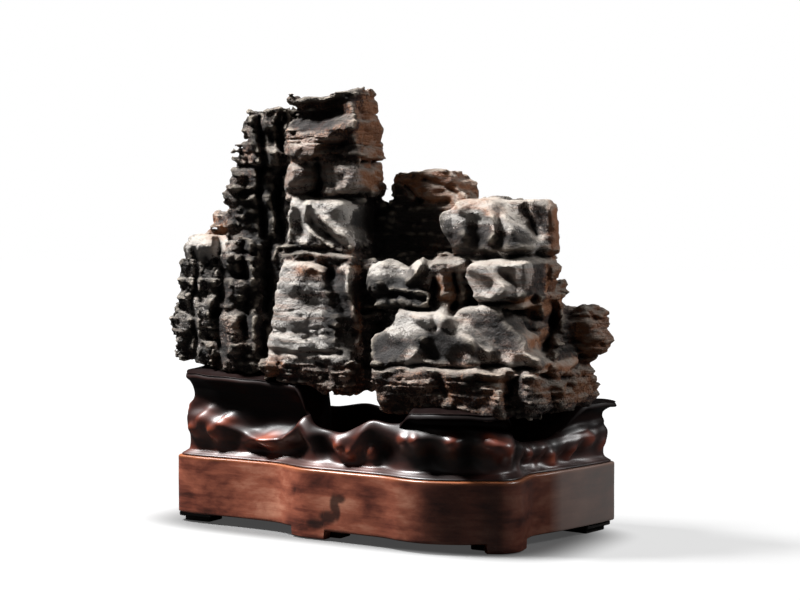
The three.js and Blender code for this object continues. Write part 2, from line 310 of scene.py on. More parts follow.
def plinth_wood():
    """Waxed hardwood, sawn flat: long brown grain along the board, a darker right end that is
    painted shade, a worn pale top edge, one spilt black stain near the front, and a grey
    painted sheen at the far right."""
    wood, shader, place = new_material("waxed brown hardwood")
    # Grain lines run along X, about 3 mm apart up the wall; the figure is about 38 mm long.
    lines = node(wood, "Mapping", {"Scale": (9, 30, 330)}, {"Vector": place})
    grain = node(wood, "TexNoise",
                 {"Scale": 1.0, "Detail": 5.0, "Roughness": 0.6, "Distortion": 0.5},
                 {"Vector": lines})
    clouds = node(wood, "Mapping", {"Scale": (26, 26, 60)}, {"Vector": place})
    figure = node(wood, "TexNoise",
                  {"Scale": 1.0, "Detail": 6.0, "Roughness": 0.6, "Distortion": 0.25},
                  {"Vector": clouds})
    half = node(wood, "Math", {"operation": "MULTIPLY_ADD", 1: 1.3, 2: -0.1}, {0: figure})
    tone = node(wood, "Math", {"operation": "MULTIPLY_ADD", 1: 0.3}, {0: grain, 2: half})
    colour = node(wood, "ValToRGB", {}, {"Fac": tone}, stops=(
        (0.45, "4a231a"), (0.58, "783d2e"), (0.75, "a65e47"), (1.0, "d8967a")))
    # The painted shade at the right end, the worn edge, the spill and the painted sheen lie one
    # over the other.
    for name, blend, tint in (
        ("shade", "MULTIPLY", "4a3a36"), ("rubbed", "MIX", "a4623c"),
        ("spill", "MIX", "1c1210"), ("film", "MIX", "a39b96"),
    ):
        amount = node(wood, "Attribute", {"attribute_name": name}, {}, "Fac")
        colour = node(wood, "Mix", {"data_type": "RGBA", "blend_type": blend, 7: linear(tint)},
                      {0: amount, 6: colour}, 2)
    rough = node(wood, "MapRange", {"To Min": 0.30, "To Max": 0.46}, {"Value": grain})
    bump = node(wood, "Bump", {"Strength": 0.12, "Distance": 0.0004}, {"Height": grain})
    fill(shader, {"IOR": 1.5, "Coat Weight": 0.35, "Coat Roughness": 0.24},
         {"Base Color": colour, "Roughness": rough, "Normal": bump})
    return wood


def wobble(along, length, seed):
    """A smooth random line round a loop, the mean of nine whole waves, about -1 to 1."""
    random = np.random.default_rng(seed)
    waves = random.integers(2, 24, 9)[:, None]
    phase = random.uniform(0, 2 * math.pi, 9)[:, None]
    return np.sin(2 * math.pi * waves * along / length + phase).mean(0) * 1.6


def plinth_rows(along, length, drop):
    """How far in and how high each row lies: the top face, a rounded edge, the wall, a rounded
    lower edge that dips to the table at each drop, the drop's inner side, and under."""
    edge = 1.3 + 0.5 * wobble(along, length, 3)
    top = PLINTH_TOP - edge
    under = PLINTH_UNDER - (PLINTH_UNDER - DROP_UNDER) * drop
    low = under + 1.0
    rows = [(inset, PLINTH_TOP) for inset in (26.0, 10.0, 4.0, 2.0)]
    for turn in np.radians((0, 22, 45, 68, 90)):
        rows.append((edge * (1 - np.sin(turn)), PLINTH_TOP - edge * (1 - np.cos(turn))))
    for share in np.linspace(0, 1, 26)[1:]:
        rows.append((0.12 * wobble(along + 40 * share, length, 5), top + share * (low - top)))
    for turn in np.radians((30, 60, 90)):
        rows.append((1.0 - np.cos(turn), low - np.sin(turn)))
    rows += [(DROP_THICKNESS - 0.6, under), (DROP_THICKNESS, under + 0.6 * drop)]
    rows += [(inset, PLINTH_UNDER) for inset in (DROP_THICKNESS + 0.2, 14.0, 26.0)]
    return rows


def add_plinth():
    """The rows of the wall carried round the outline, and closed above and below."""
    loop, length = smooth_loop(OUTLINE, PLINTH_STATIONS)
    inwards = inward(loop)
    x, y = loop.T
    drop = np.zeros(PLINTH_STATIONS)
    for left, right, front, back in DROP_ZONES:
        drop[(x > left) & (x < right) & (y > front) & (y < back)] = 1.0
    rows = plinth_rows(np.arange(PLINTH_STATIONS) * length / PLINTH_STATIONS, length, drop)
    points = np.empty((len(rows), PLINTH_STATIONS, 3))
    for row, (inset, height) in enumerate(rows):
        points[row, :, :2] = loop + inwards * np.broadcast_to(inset, PLINTH_STATIONS)[:, None]
        points[row, :, 2] = height
    flat = points[::-1].reshape(-1, 3)
    faces = grid_faces(len(rows), PLINTH_STATIONS, ring=False)
    piece = add_piece("plinth_board", flat, faces, plinth_wood(), "plinth_hardwood", "plinth")
    piece.data.set_sharp_from_angle(angle=math.radians(50))
    px, py, pz = flat.T
    blot = np.zeros(len(flat))
    for middle_x, middle_z, half_x, half_z in SPILL:
        away = np.hypot((px - middle_x) / half_x, (pz - middle_z) / half_z)
        blot = np.maximum(blot, 1.2 - away)
    add_attributes(
        piece,
        # Painted shade: the board darkens towards its right end.
        shade=np.clip((px - 10) / 110, 0, 1) * 0.75,
        # Wear only here: the worn pale top edge.
        rubbed=np.clip((pz - (PLINTH_TOP - 2.2)) / 2.0, 0, 1) * 0.8,
        # Painted reflection: a grey sheen over the far right end wall.
        film=0.5 * (np.clip((px - 105) / 35, 0, 1) * np.clip((py + 2) / 12, 0, 1)),
        spill=np.clip(blot * 2.2, 0, 1) * (py < -60) * 0.85,
    )


add_plinth()


# ---- Feet --------------------------------------------------------------------------------
# Six small blocks of black lacquered wood under the plinth, each cut with one step so that
# only its lower, smaller part touches the table.

FOOT_TOP = 6.2
FOOT_STEP = 3.4
FOOT_INSET = 3.0
CORNER_RADIUS = 1.2
# Each foot: its length, its width, and how many degrees it is turned.
FEET = {
    "foot_front_left": (27, 22, 0),
    "foot_front_middle": (22, 19, 0),
    "foot_front_right": (20, 22, 0),
    "foot_back_right": (26, 29, -9),
    "foot_back_middle": (24, 20, 0),
    "foot_back_left": (24, 24, 0),
}


def foot_lacquer():
    """Black lacquer rubbed thin: nearly black, a soft shine, brown showing where it wears."""
    lacquer, shader, place = new_material("black lacquered wood")
    # The worn spots are about 4 mm across.
    wear = node(lacquer, "TexNoise", {"Scale": 260.0, "Detail": 4.0}, {"Vector": place})
    colour = node(lacquer, "ValToRGB", {}, {"Fac": wear},
                  stops=((0.45, "0d0a09"), (0.8, "2c211c")))
    rough = node(lacquer, "MapRange", {"To Min": 0.38, "To Max": 0.62}, {"Value": wear})
    bump = node(lacquer, "Bump", {"Strength": 0.2, "Distance": 0.0003}, {"Height": wear})
    fill(shader, {}, {"Base Color": colour, "Roughness": rough, "Normal": bump})
    return lacquer


def rounded_rectangle(length, width, radius, inset):
    """The outline of a rectangle with quarter-round corners, drawn in by the inset."""
    turns = np.radians(np.linspace(0, 90, 6))
    corners = []
    for quarter, (sx, sy) in enumerate(((1, 1), (-1, 1), (-1, -1), (1, -1))):
        angle = turns + quarter * math.pi / 2
        corner = np.array((sx * (length / 2 - radius), sy * (width / 2 - radius)))
        corners.append(corner + radius * np.stack([np.cos(angle), np.sin(angle)], 1))
    half = np.array((length / 2, width / 2))
    return np.vstack(corners) * (half - inset) / half


def add_foot(name, length, width, turn, lacquer):
    """Rounded rectangles carried up the foot, drawn in at each edge and below the step."""
    rows = [(FOOT_INSET + 0.5, 0.0), (FOOT_INSET, 0.5), (FOOT_INSET, FOOT_STEP - 0.4),
            (FOOT_INSET - 0.3, FOOT_STEP), (0.5, FOOT_STEP), (0.0, FOOT_STEP + 0.5),
            (0.0, FOOT_TOP - 0.4), (0.4, FOOT_TOP)]
    low, high = (np.array(corner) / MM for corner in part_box(name))
    middle = (low + high)[:2] / 2 - SHIFT[:2]
    angle = math.radians(turn)
    spin = np.array(((math.cos(angle), math.sin(angle)), (-math.sin(angle), math.cos(angle))))
    points = []
    for inset, height in rows:
        loop = rounded_rectangle(length, width, CORNER_RADIUS, inset) @ spin + middle
        points.append(np.column_stack([loop, np.full(len(loop), height)]))
    faces = grid_faces(len(rows), len(points[0]), ring=False)
    piece = add_piece(name + "_block", np.vstack(points), faces, lacquer, "black_foot_wood", name)
    piece.data.set_sharp_from_angle(angle=math.radians(40))


lacquer = foot_lacquer()
for foot_name, (foot_length, foot_width, foot_turn) in FEET.items():
    add_foot(foot_name, foot_length, foot_width, foot_turn, lacquer)


# ---- Carved socket -----------------------------------------------------------------------
# The rockwork carved in dark polished hardwood: a low undulating wall with round bosses and
# hollows between them, rising to three pillars whose thin lips hold the stone's underside.

STATIONS = 800
ROWS_PER_SPAN = 7
FLOOR = PLINTH_TOP + 0.3

# The wall's crest above the plinth, by distance round the outline from its left front.
CREST = (
    (0, 33), (24, 33), (44, 27), (62, 21), (92, 20), (106, 26), (117, 33), (126, 28), (140, 25),
    (152, 24.5), (164, 29), (176, 34), (190, 33), (205, 32), (240, 31), (275, 29), (295, 24),
    (317, 20), (340, 20), (361, 22), (385, 24), (410, 27), (440, 30), (475, 27), (500, 31),
    (525, 26), (552, 31), (580, 27), (605, 30), (635, 27), (660, 31), (690, 30), (720, 29),
    (745, 32), (770, 34),
)
# Each pillar: where it starts and ends, the lip's height at both ends, how far in its waist
# and its lip are at both ends, and how thick its top is.
PILLARS = (
    dict(span=(-128, 112), lip=(66, 52), waist=(6, 24), reach=(-1.5, 17), top=46),
    dict(span=(199, 292), lip=(42, 42), waist=(12, 12), reach=(4.5, 4.5), top=40),
    dict(span=(357, 486), lip=(41.5, 42), waist=(9, 10), reach=(1.0, 2.5), top=40),
)
# Round bosses: distance round the outline, height above the plinth, radius, how far they stand.
BOSSES = (
    (82, 14.5, 6.5, 5.0), (44, 27, 5.0, 4.5), (36, 17, 5.5, 4.0), (16, 18, 5.0, 4.0),
    (777, 44, 6.0, 3.0), (786, 33, 6.5, 4.0), (151, 15, 4.6, 4.0), (160, 11, 4.0, 3.2),
    (177, 13.5, 4.6, 4.0), (205, 24, 5.0, 4.0), (215, 25, 4.4, 3.0), (242, 24, 5.5, 4.0),
    (266, 24, 6.5, 5.0), (276, 19, 7.5, 5.0), (316, 12, 5.0, 4.0), (339, 8.5, 5.0, 4.0),
    (360, 10, 4.5, 3.5), (377, 18, 7.0, 4.5), (397, 12, 5.0, 4.0), (420, 18, 6.0, 4.0),
    (448, 11, 5.5, 4.0), (470, 22, 5.5, 4.0), (497, 13, 6.0, 4.5), (520, 20, 5.0, 4.0),
    (545, 10, 5.5, 4.0), (566, 21, 6.0, 4.5), (592, 13, 5.5, 4.0), (618, 22, 5.0, 4.0),
    (642, 12, 6.5, 4.5), (668, 22, 5.5, 4.0), (694, 13, 5.5, 4.0), (716, 24, 6.0, 4.0),
    (738, 12, 5.0, 4.0), (758, 22, 5.5, 4.0),
)
# Ridges and hollows (a hollow stands less than nothing): distance round the outline, height,
# half length, half width, lean in degrees from level, and how far they stand.
RIDGES = (
    (60, 10, 20, 5, 20, 2.5), (104, 22, 16, 5, 48, 3.0), (124, 18, 18, 5, -52, 3.0),
    (26, 26, 16, 5, 70, 3.0), (100, 12, 26, 5, 5, -2.0), (66, 6, 20, 4, 0, -1.5),
    (136, 14, 9, 11, 90, -3.0), (148, 22, 16, 5, 40, 2.0), (168, 22, 14, 5, 60, 2.5),
    (190, 15, 9, 12, 90, -3.0), (228, 18, 8, 7, 90, -2.5), (254, 18, 8, 7, 90, -2.5),
    (290, 14, 14, 5, 80, -3.0), (303, 12, 12, 5, 70, 2.5), (327, 12, 12, 4, 60, 2.5),
    (349, 14, 12, 4, 60, 2.5), (368, 22, 16, 5, 40, 2.5), (390, 26, 14, 5, 60, 2.5),
    (434, 16, 16, 5, 50, 2.5), (484, 18, 16, 5, -50, 2.5), (532, 16, 16, 5, 50, 2.5),
    (580, 16, 16, 5, -50, 2.5), (630, 16, 16, 5, 50, 2.5), (681, 16, 16, 5, -50, 2.5),
    (727, 18, 16, 5, 55, 2.5), (768, 18, 16, 5, -60, 2.5),
)
# Swells that run round the whole wall: how many, the height they climb in, where they start
# and how far they stand.
SWELLS = (
    (19, 46, 0.4, 0.5), (27, -38, 2.1, 0.4), (34, 70, 4.0, 0.3), (12, -60, 1.3, 0.6),
)
# The hollow flare at the wall's foot, as (inset, height).
FLARE = ((2.6, 0), (2.9, 1.0), (5.8, 2.4), (9.4, 5.0))
# The rest of the wall's section where no pillar stands, as (inset, share of the crest).
LOW_WALL = (
    (10.2, 0.40), (8.2, 0.62), (7.4, 0.82), (9.6, 0.96), (12.2, 1.0), (14.6, 0.97),
    (16.0, 0.86), (17.0, 0.72), (18.0, 0.58), (19.0, 0.44), (20.0, 0.30), (21.5, 0.15), (23.0, 0),
)


def ease(value, low, high):
    """Nought below low, one above high, and a smooth S between."""
    share = np.clip((value - low) / (high - low), 0, 1)
    return share * share * (3 - 2 * share)


def round_line(pairs, along, length):
    """A smooth closed line through (distance, value) pairs: cubic spans round the loop."""
    at, value = np.array(pairs, float).T
    at = np.concatenate([at - length, at, at + length])
    value = np.tile(value, 3)
    slope = np.gradient(value, at)
    span = np.clip(np.searchsorted(at, along, side="right") - 1, 0, len(at) - 2)
    width = at[span + 1] - at[span]
    u = (along - at[span]) / width
    return hermite(u, value[span], width * slope[span], value[span + 1], width * slope[span + 1])


def gap_round(along, place, length):
    """The signed distance round the loop from the place to each station."""
    return (along - place + length / 2) % length - length / 2


def controls_round(pairs, along):
    """The (inset, height) pairs of one section, each a number or a line round the loop, as
    one array with an entry for every station."""
    return np.array([[np.broadcast_to(side, along.shape) for side in pair] for pair in pairs])


def carved_profile(along, length):
    """For each station the control points of one section, as (inset, height) pairs: up the
    outer wall, over the crest, up any pillar to its lip, and down the inner wall."""
    crest = round_line(CREST, along, length)
    low_wall = tuple((inset, share * crest) for inset, share in LOW_WALL)
    points = controls_round(FLARE + low_wall, along)
    turn = 2 * math.pi * along / length
    wave = np.sin(11 * turn + 1) + 0.6 * np.sin(23 * turn)
    for pillar in PILLARS:
        start, end = pillar["span"]
        middle, half = (start + end) / 2, (end - start) / 2
        offset = gap_round(along, middle, length)
        weight = ease(half - np.abs(offset), -12, 15)
        share = np.clip(offset / (2 * half) + 0.5, 0, 1)
        lip, waist, reach = (
            pillar[key][0] + share**power * (pillar[key][1] - pillar[key][0])
            for key, power in (("lip", 1), ("waist", 2), ("reach", 2))
        )
        lip, reach = lip - 0.4 * wave**2, reach + 1.3 * wave
        rise = lip - crest
        high_wall = (
            (10.0, 0.40 * crest), (7.6, 0.62 * crest), (6.6, 0.82 * crest),
            (0.5 * waist + 4, 0.98 * crest), (waist - 1, crest + 0.15 * rise),
            (waist, crest + 0.36 * rise), (waist - 1, crest + 0.58 * rise),
            (0.4 * waist + 0.6 * reach, crest + 0.76 * rise), (reach - 0.4, lip - 3.2),
            (reach + 0.6, lip - 0.5), (reach + 3.5, lip + 0.3),
            (pillar["top"] - 4, lip - 1.2), (pillar["top"], 0),
        )
        points = points + weight * (controls_round(FLARE + high_wall, along) - points)
    return points


def bent_rows(controls, per_span):
    """Smooth rows through the control rows: the same cubic for every station at once."""
    before = np.concatenate([controls[:1], controls[:-1]])
    after = np.concatenate([controls[1:], controls[-1:]])
    slope = (after - before) / 2
    rows = [
        hermite(u, *side)
        for side in zip(controls[:-1], slope[:-1], controls[1:], slope[1:])
        for u in np.linspace(0, 1, per_span, endpoint=False)
    ]
    return np.array(rows + [controls[-1]])


def carving(along, height, length):
    """How far the carving stands from the plain wall: domes for the bosses, long soft swells
    for the ridges and hollows.  Also how much a point belongs to a boss."""
    stand = np.zeros_like(height)
    boss = np.zeros_like(height)
    for place, up, radius, proud in BOSSES:
        reach = np.hypot(gap_round(along, place, length), height - up) / radius
        dome = np.exp(-((reach / 0.95) ** 3))
        skirt = np.exp(-((reach / 1.9) ** 2))
        stand += proud * (0.60 * dome + 0.60 * skirt)
        boss = np.maximum(boss, dome)
    for place, up, half_length, half_width, lean, proud in RIDGES:
        sideways = gap_round(along, place, length)
        turn = math.radians(lean)
        along_ridge = sideways * math.cos(turn) + (height - up) * math.sin(turn)
        across = (height - up) * math.cos(turn) - sideways * math.sin(turn)
        stand += proud * np.exp(-((along_ridge / half_length) ** 2) - (across / half_width) ** 2)
    for waves, rise, start, proud in SWELLS:
        stand += proud * np.sin(2 * math.pi * (waves * along / length + height / rise) + start)
    return stand, boss


def carved_wood():
    """Dark stained hardwood waxed to a deep shine: red brown on the open wall, worn to orange
    brown on the bosses and darker in the hollows, painted shade almost black under the lips
    and on the inner wall, and painted highlights along the lips and the foot of the wall."""
    wood, shader, place = new_material("polished dark hardwood")
    # Grain lines run along X, about 6 mm apart up the wall.
    lines = node(wood, "Mapping", {"Scale": (18, 30, 160)}, {"Vector": place})
    grain = node(wood, "TexNoise", {"Scale": 1.0, "Detail": 5.0, "Roughness": 0.6},
                 {"Vector": lines})
    # Wear on the bosses, with painted highlights and painted shade, lightens or darkens the wood.
    rubbed = node(wood, "Attribute", {"attribute_name": "rubbed"}, {}, "Fac")
    tone = node(wood, "Math", {"operation": "MULTIPLY_ADD", 1: 0.35}, {0: grain, 2: rubbed})
    colour = node(wood, "ValToRGB", {}, {"Fac": tone}, stops=(
        (0.12, "0c0404"), (0.28, "1c0a07"), (0.45, "3a160e"), (0.70, "702c15"), (1.0, "a2481f")))
    rough = node(wood, "MapRange", {"To Min": 0.42, "To Max": 0.54}, {"Value": grain})
    bump = node(wood, "Bump", {"Strength": 0.08, "Distance": 0.0004}, {"Height": grain})
    # Hands have rubbed the wax to a shine on what stands proud; it is dull in the hollows.
    waxed = node(wood, "Attribute", {"attribute_name": "waxed"}, {}, "Fac")
    shine = node(wood, "MapRange", {"From Max": 0.45, "To Min": 0.10, "To Max": 0.7},
                 {"Value": waxed})
    fill(shader, {"IOR": 1.5, "Coat Roughness": 0.34},
         {"Base Color": colour, "Roughness": rough, "Normal": bump,
          "Coat Weight": shine, "Specular IOR Level": shine})
    return wood


def add_socket():
    """The carved section carried round the outline as one closed ring of quads.  Outer runs
    from nought at the wall's foot, over the crest near a half, to one at the inner foot."""
    loop, length = smooth_loop(OUTLINE, STATIONS)
    along = np.arange(STATIONS) * length / STATIONS
    inwards = inward(loop)
    rows = bent_rows(carved_profile(along, length), ROWS_PER_SPAN)
    inset, height = rows[:, 0], rows[:, 1]
    stand, boss = carving(along[None, :], height, length)
    outer = np.cumsum(np.ones_like(inset), 0) / len(inset)
    faded = 1 - ease(outer, 0.46, 0.56)
    inset = inset - stand * faded * ease(height, 0.5, 5.0)
    points = np.empty(inset.shape + (3,))
    points[..., :2] = loop[None] + inwards[None] * inset[..., None]
    points[..., 2] = FLOOR + np.maximum(height, 0)
    faces = grid_faces(len(points), STATIONS, ring=True)
    flat = points.reshape(-1, 3)
    piece = add_piece("carved_socket", flat, faces, carved_wood(), "carved_hardwood", "stand_top")
    crest = round_line(CREST, along, length)[None, :]
    waist = ease(height, crest - 2, crest + 6) * (1 - ease(outer, 0.60, 0.66))
    # Where the lips take a painted highlight.
    lip = np.exp(-(((outer - 0.78) / 0.05) ** 2)) * ease(height, crest + 3, crest + 8)
    # Painted shade on the pillars' necks under the lips, less at the far left end.
    painted_shade_under_lip = 0.05 + 0.25 * ease(points[..., 0], -112, -90)
    rubbed = 0.15 + 0.24 * boss * faded + 0.06 * np.clip(stand, -4, 5) * faded
    # Painted shade: the inner wall under the stone and the necks under the lips are darker.
    rubbed = rubbed - 0.25 * ease(outer, 0.5, 0.6) * (1 - waist) - painted_shade_under_lip * waist
    # Painted highlights: a lighter band at the foot of the wall and along the lips.
    rubbed = rubbed + 0.16 * np.exp(-(((height - 3) / 5) ** 2)) * faded + 0.22 * lip
    add_attributes(
        piece,
        waxed=np.clip(rubbed, 0, 1),
        # The colour, not the shine, is also made darker towards the right end.
        rubbed=np.clip(rubbed - 0.13 * ease(points[..., 0], 25, 75), 0, 1),
    )


add_socket()


# ---- Stone -------------------------------------------------------------------------------
# One weathered limestone: level beds and upright joints cut it into blocks, and weather has
# since rounded, scooped and furrowed them.  It only rests in the socket.

GRID = 1.0
SKIN = 5.0
CRACKS_APART = 13.0
RELIEF_OUTSIDE = 6.0
RELIEF_INSIDE = 45.0
BLOCK_BORDER = 14.0
BLOCK_BLEND = 6.0
# How many cells the random lattices have each way before they repeat, and numbers in each.
LATTICE = (32, 32, 32, 3)
STONE_TRIANGLES = 196000

# How each kind of rock weathers: how rough, how strongly bedded, how deeply scalloped, how
# cracked, how pale and how rusty, and over how many millimetres its edges are rounded.
LOOKS = {
    "draped": dict(rough=0.18, beds=0.10, bowls=0.10, cracks=0.0, pale=0.70, rust=0.05, round=7),
    "smooth": dict(rough=0.18, beds=0.15, bowls=0.08, cracks=0.0, pale=0.42, rust=0.22, round=5),
    "shaft": dict(rough=0.26, beds=0.28, bowls=0.08, cracks=0.1, pale=0.85, rust=0.10, round=5),
    "cracked": dict(rough=0.50, beds=0.85, bowls=0.00, cracks=0.8, pale=0.10, rust=0.05, round=2),
    "bedded": dict(rough=0.50, beds=1.30, bowls=0.20, cracks=0.3, pale=0.15, rust=0.50, round=2),
    "rusty": dict(rough=0.50, beds=1.05, bowls=0.25, cracks=0.2, pale=0.25, rust=1.00, round=2),
    "tan": dict(rough=0.75, beds=0.40, bowls=0.25, cracks=0.1, pale=0.90, rust=0.32, round=4),
    "craggy": dict(rough=0.85, beds=0.95, bowls=0.12, cracks=0.5, pale=-0.15, rust=0.30, round=2),
    "knobbed": dict(rough=0.55, beds=1.05, bowls=0.25, cracks=0.1, pale=0.30, rust=1.00, round=14),
    "dark": dict(rough=0.70, beds=0.60, bowls=0.30, cracks=0.3, pale=-0.30, rust=0.10, round=3),
}


def chunk(x, y, z, look, inset=(0, 0, 0, 0), tilt=(0, 0), under=(0, 0), chip=1.0):
    """One joint-bounded block.  Inset is how far the left, right, front and back faces lean
    in at the top, tilt how much the top rises along X and Y, under the same for the bottom,
    and chip how heavily its corners are broken."""
    return dict(spans=(x, y, z), look=look, inset=inset, tilt=tilt, under=under, chip=chip)


CHUNKS = (
    # the stack of cracked blocks at the left end
    chunk((-149, -116), (-34, 18), (110, 127), "cracked", (-3, 0, 0, 0), under=(-4, 0)),
    chunk((-153, -116), (-36, 20), (127.5, 144), "cracked", (1, 0, 1, 0)),
    chunk((-152, -112), (-36, 20), (144.5, 160), "cracked", (-1, 0, 0, 0)),
    chunk((-152, -112), (-34, 16), (160.5, 180), "cracked", (3, 0, 1, 0)),
    chunk((-146, -115), (-33, 14), (180.5, 199), "draped", (1, 2, -1, 0), (0, -2), chip=0.5),
    # the ribs between the stack and the tower
    chunk((-114, -76), (-42, 20), (106, 143), "craggy", (0, 3, 4, 0), under=(-3, 0)),
    chunk((-113, -82), (-36, 15), (143, 186), "craggy", (0, 3, 4, 0)),
    chunk((-111, -86), (-31, 12), (184, 200), "craggy", (1, 1, 1, 0)),
    chunk((-106, -62), (-16, 25), (118, 252), "dark", (4, 0, 4, 0)),
    chunk((-120, -90), (-16, 26), (196, 232), "craggy", (2, 0, 0, 0)),
    chunk((-119, -82), (-18, 24), (224, 268), "craggy", (13, 0, 2, 0)),
    chunk((-102, -64), (-23, 12), (250, 288), "craggy", (3, 1, 1, 0), (3, 0)),
    chunk((-117, -90), (2, 32), (214, 250), "craggy", (4, 0, 0, 4)),
    # the shelves behind the stack
    chunk((-150, -105), (8, 40), (112, 198), "bedded", (3, 0, 0, 3)),
    chunk((-158, -115), (14, 42), (196, 206), "tan"),
    chunk((-156, -112), (17, 42), (206, 220), "rusty", (1, 0, 0, 0)),
    chunk((-147, -108), (19, 42), (218, 228), "tan", (2, 0, 0, 0)),
    # the tower
    chunk((-68, 3), (-42, 38), (97, 116), "bedded", (0, 0, -2, 0), under=(-10, 0)),
    chunk((-68, 2), (-45, 40), (115, 134), "shaft", (2, 1, 1, 0)),
    chunk((-65, 1), (-43, 30), (134, 182), "shaft", (10, 4, 3, 0), chip=0.6),
    chunk((-60, -1), (-36, 28), (182, 195), "craggy", (0, 1, 2, 0)),
    chunk((-58, -1), (-35, 12), (194, 228), "draped", (1, 8, 2, 0), chip=0.5),
    chunk((-66, -1), (-27, 14), (229, 254), "tan", (2, 0, -1, 0)),
    chunk((-60, 2), (-29, 9), (254, 298), "bedded", (0, 4, 0, 9), (7, 0), chip=0.3),
    # the right wing
    chunk((-12, 14), (-26, 30), (93, 184), "dark"),
    chunk((27, 122), (-57, 35), (86, 118), "bedded", (1, 4, 1, 0)),
    chunk((112, 142), (-46, 30), (87, 117), "craggy", (0, 6, 4, 0), chip=2.6),
    chunk((22, 104), (-53, 30), (115, 136), "smooth", (1, 8, 2, 0)),
    chunk((28, 100), (-51, 10), (130, 153), "draped", (14, 30, 10, 0)),
    chunk((80, 146), (-44, 12), (116, 156), "smooth", (0, 36, 8, 0), chip=0.4),
    chunk((10, 66), (-41, 10), (150, 166), "dark", (0, 2, 0, 0)),
    chunk((7, 58), (-40, 8), (163, 178), "draped", (-1, 0, 3, 0), chip=0.5),
    chunk((54, 80), (-32, 8), (148, 187), "tan", (0, 4, 4, 0)),
    chunk((90, 129), (-38, 12), (156, 187), "smooth", (-14, 2, 2, 0), (4, 0), chip=0.8),
    chunk((112, 129), (-2, 15), (158, 187), "rusty"),
    chunk((104, 144), (-14, 24), (128, 162), "rusty", (0, 14, 4, 0)),
    chunk((127, 161), (14, 46), (126, 160), "knobbed", (-2, 4, 0, 2), (2, 0), chip=1.6),
    chunk((127, 163), (12, 46), (117, 146), "knobbed", (3, 4, 2, 2), under=(-14, 0), chip=2.4),
    chunk((122, 150), (-26, 42), (87, 126), "craggy", (0, 9, 3, 4), chip=2.0),
    chunk((68, 128), (-31, 12), (187, 224), "draped", (-3, 30, 8, 0), chip=0.6),
    chunk((99, 133), (-7, 9), (186, 223), "smooth", (0, 1, 0, 2), chip=0.5),
    chunk((88, 122), (2, 26), (186, 221), "dark"),
    chunk((74, 99), (-5, 22), (205, 226), "craggy", (2, 2, 2, 2)),
    chunk((5, 90), (6, 42), (183, 246), "rusty", (0, 40, 2, 4), (-2, 0), chip=0.3),
    chunk((-24, 12), (-2, 32), (176, 223), "dark", (0, 0, 6, 0), (-6, 0)),
    # the core and the rougher back
    chunk((-118, 130), (-16, 38), (98, 150), "dark", under=(-12, 0)),
    chunk((-108, 116), (-8, 34), (148, 188), "dark"),
    chunk((-56, -8), (-20, 8), (176, 288), "dark"),
    chunk((-122, -70), (18, 45), (108, 172), "craggy", (2, 0, 0, 6)),
    chunk((-72, -20), (22, 48), (98, 192), "bedded", (0, 3, 0, 8)),
    chunk((-92, -38), (4, 32), (184, 248), "craggy", (4, 3, 0, 6)),
    chunk((-22, 32), (26, 46), (96, 178), "craggy", (0, 0, 0, 4)),
    chunk((30, 82), (24, 50), (92, 204), "bedded", (0, 3, 0, 8)),
    chunk((80, 124), (22, 47), (94, 168), "craggy", (0, 3, 0, 6)),
)

# What weather has scooped out, each an egg-shaped hollow: middle, half sizes, and lean in
# degrees, by which its X axis rises to the right.
SCOOPS = (
    # the back
    (-95, 50, 150, 14, 9, 18, 0), (-45, 54, 160, 14, 10, 20, 10), (-62, 36, 225, 12, 9, 14, 0),
    (5, 50, 150, 15, 9, 16, 0), (55, 56, 170, 14, 10, 18, -10), (100, 52, 135, 14, 9, 14, 0),
    (30, 46, 215, 16, 9, 14, 20), (-20, 18, 270, 14, 9, 12, 0), (-130, 46, 150, 11, 9, 20, 0),
    (-10, 46, 118, 16, 9, 10, 0), (75, 54, 112, 14, 9, 10, 0), (-20, 20, 215, 14, 10, 12, 0),
)

# What stands out softly: middle, half sizes and lean, as above.
BULGES = (
    (-52, -24, 243, 12, 8, 12, 0), (66, -42, 148, 17, 8, 6, -6), (69, -25, 206, 8, 5, 12, 30),
    (22, -26, 173, 15, 14, 11, 0), (50, -30, 176, 7, 9, 11, -20),
)


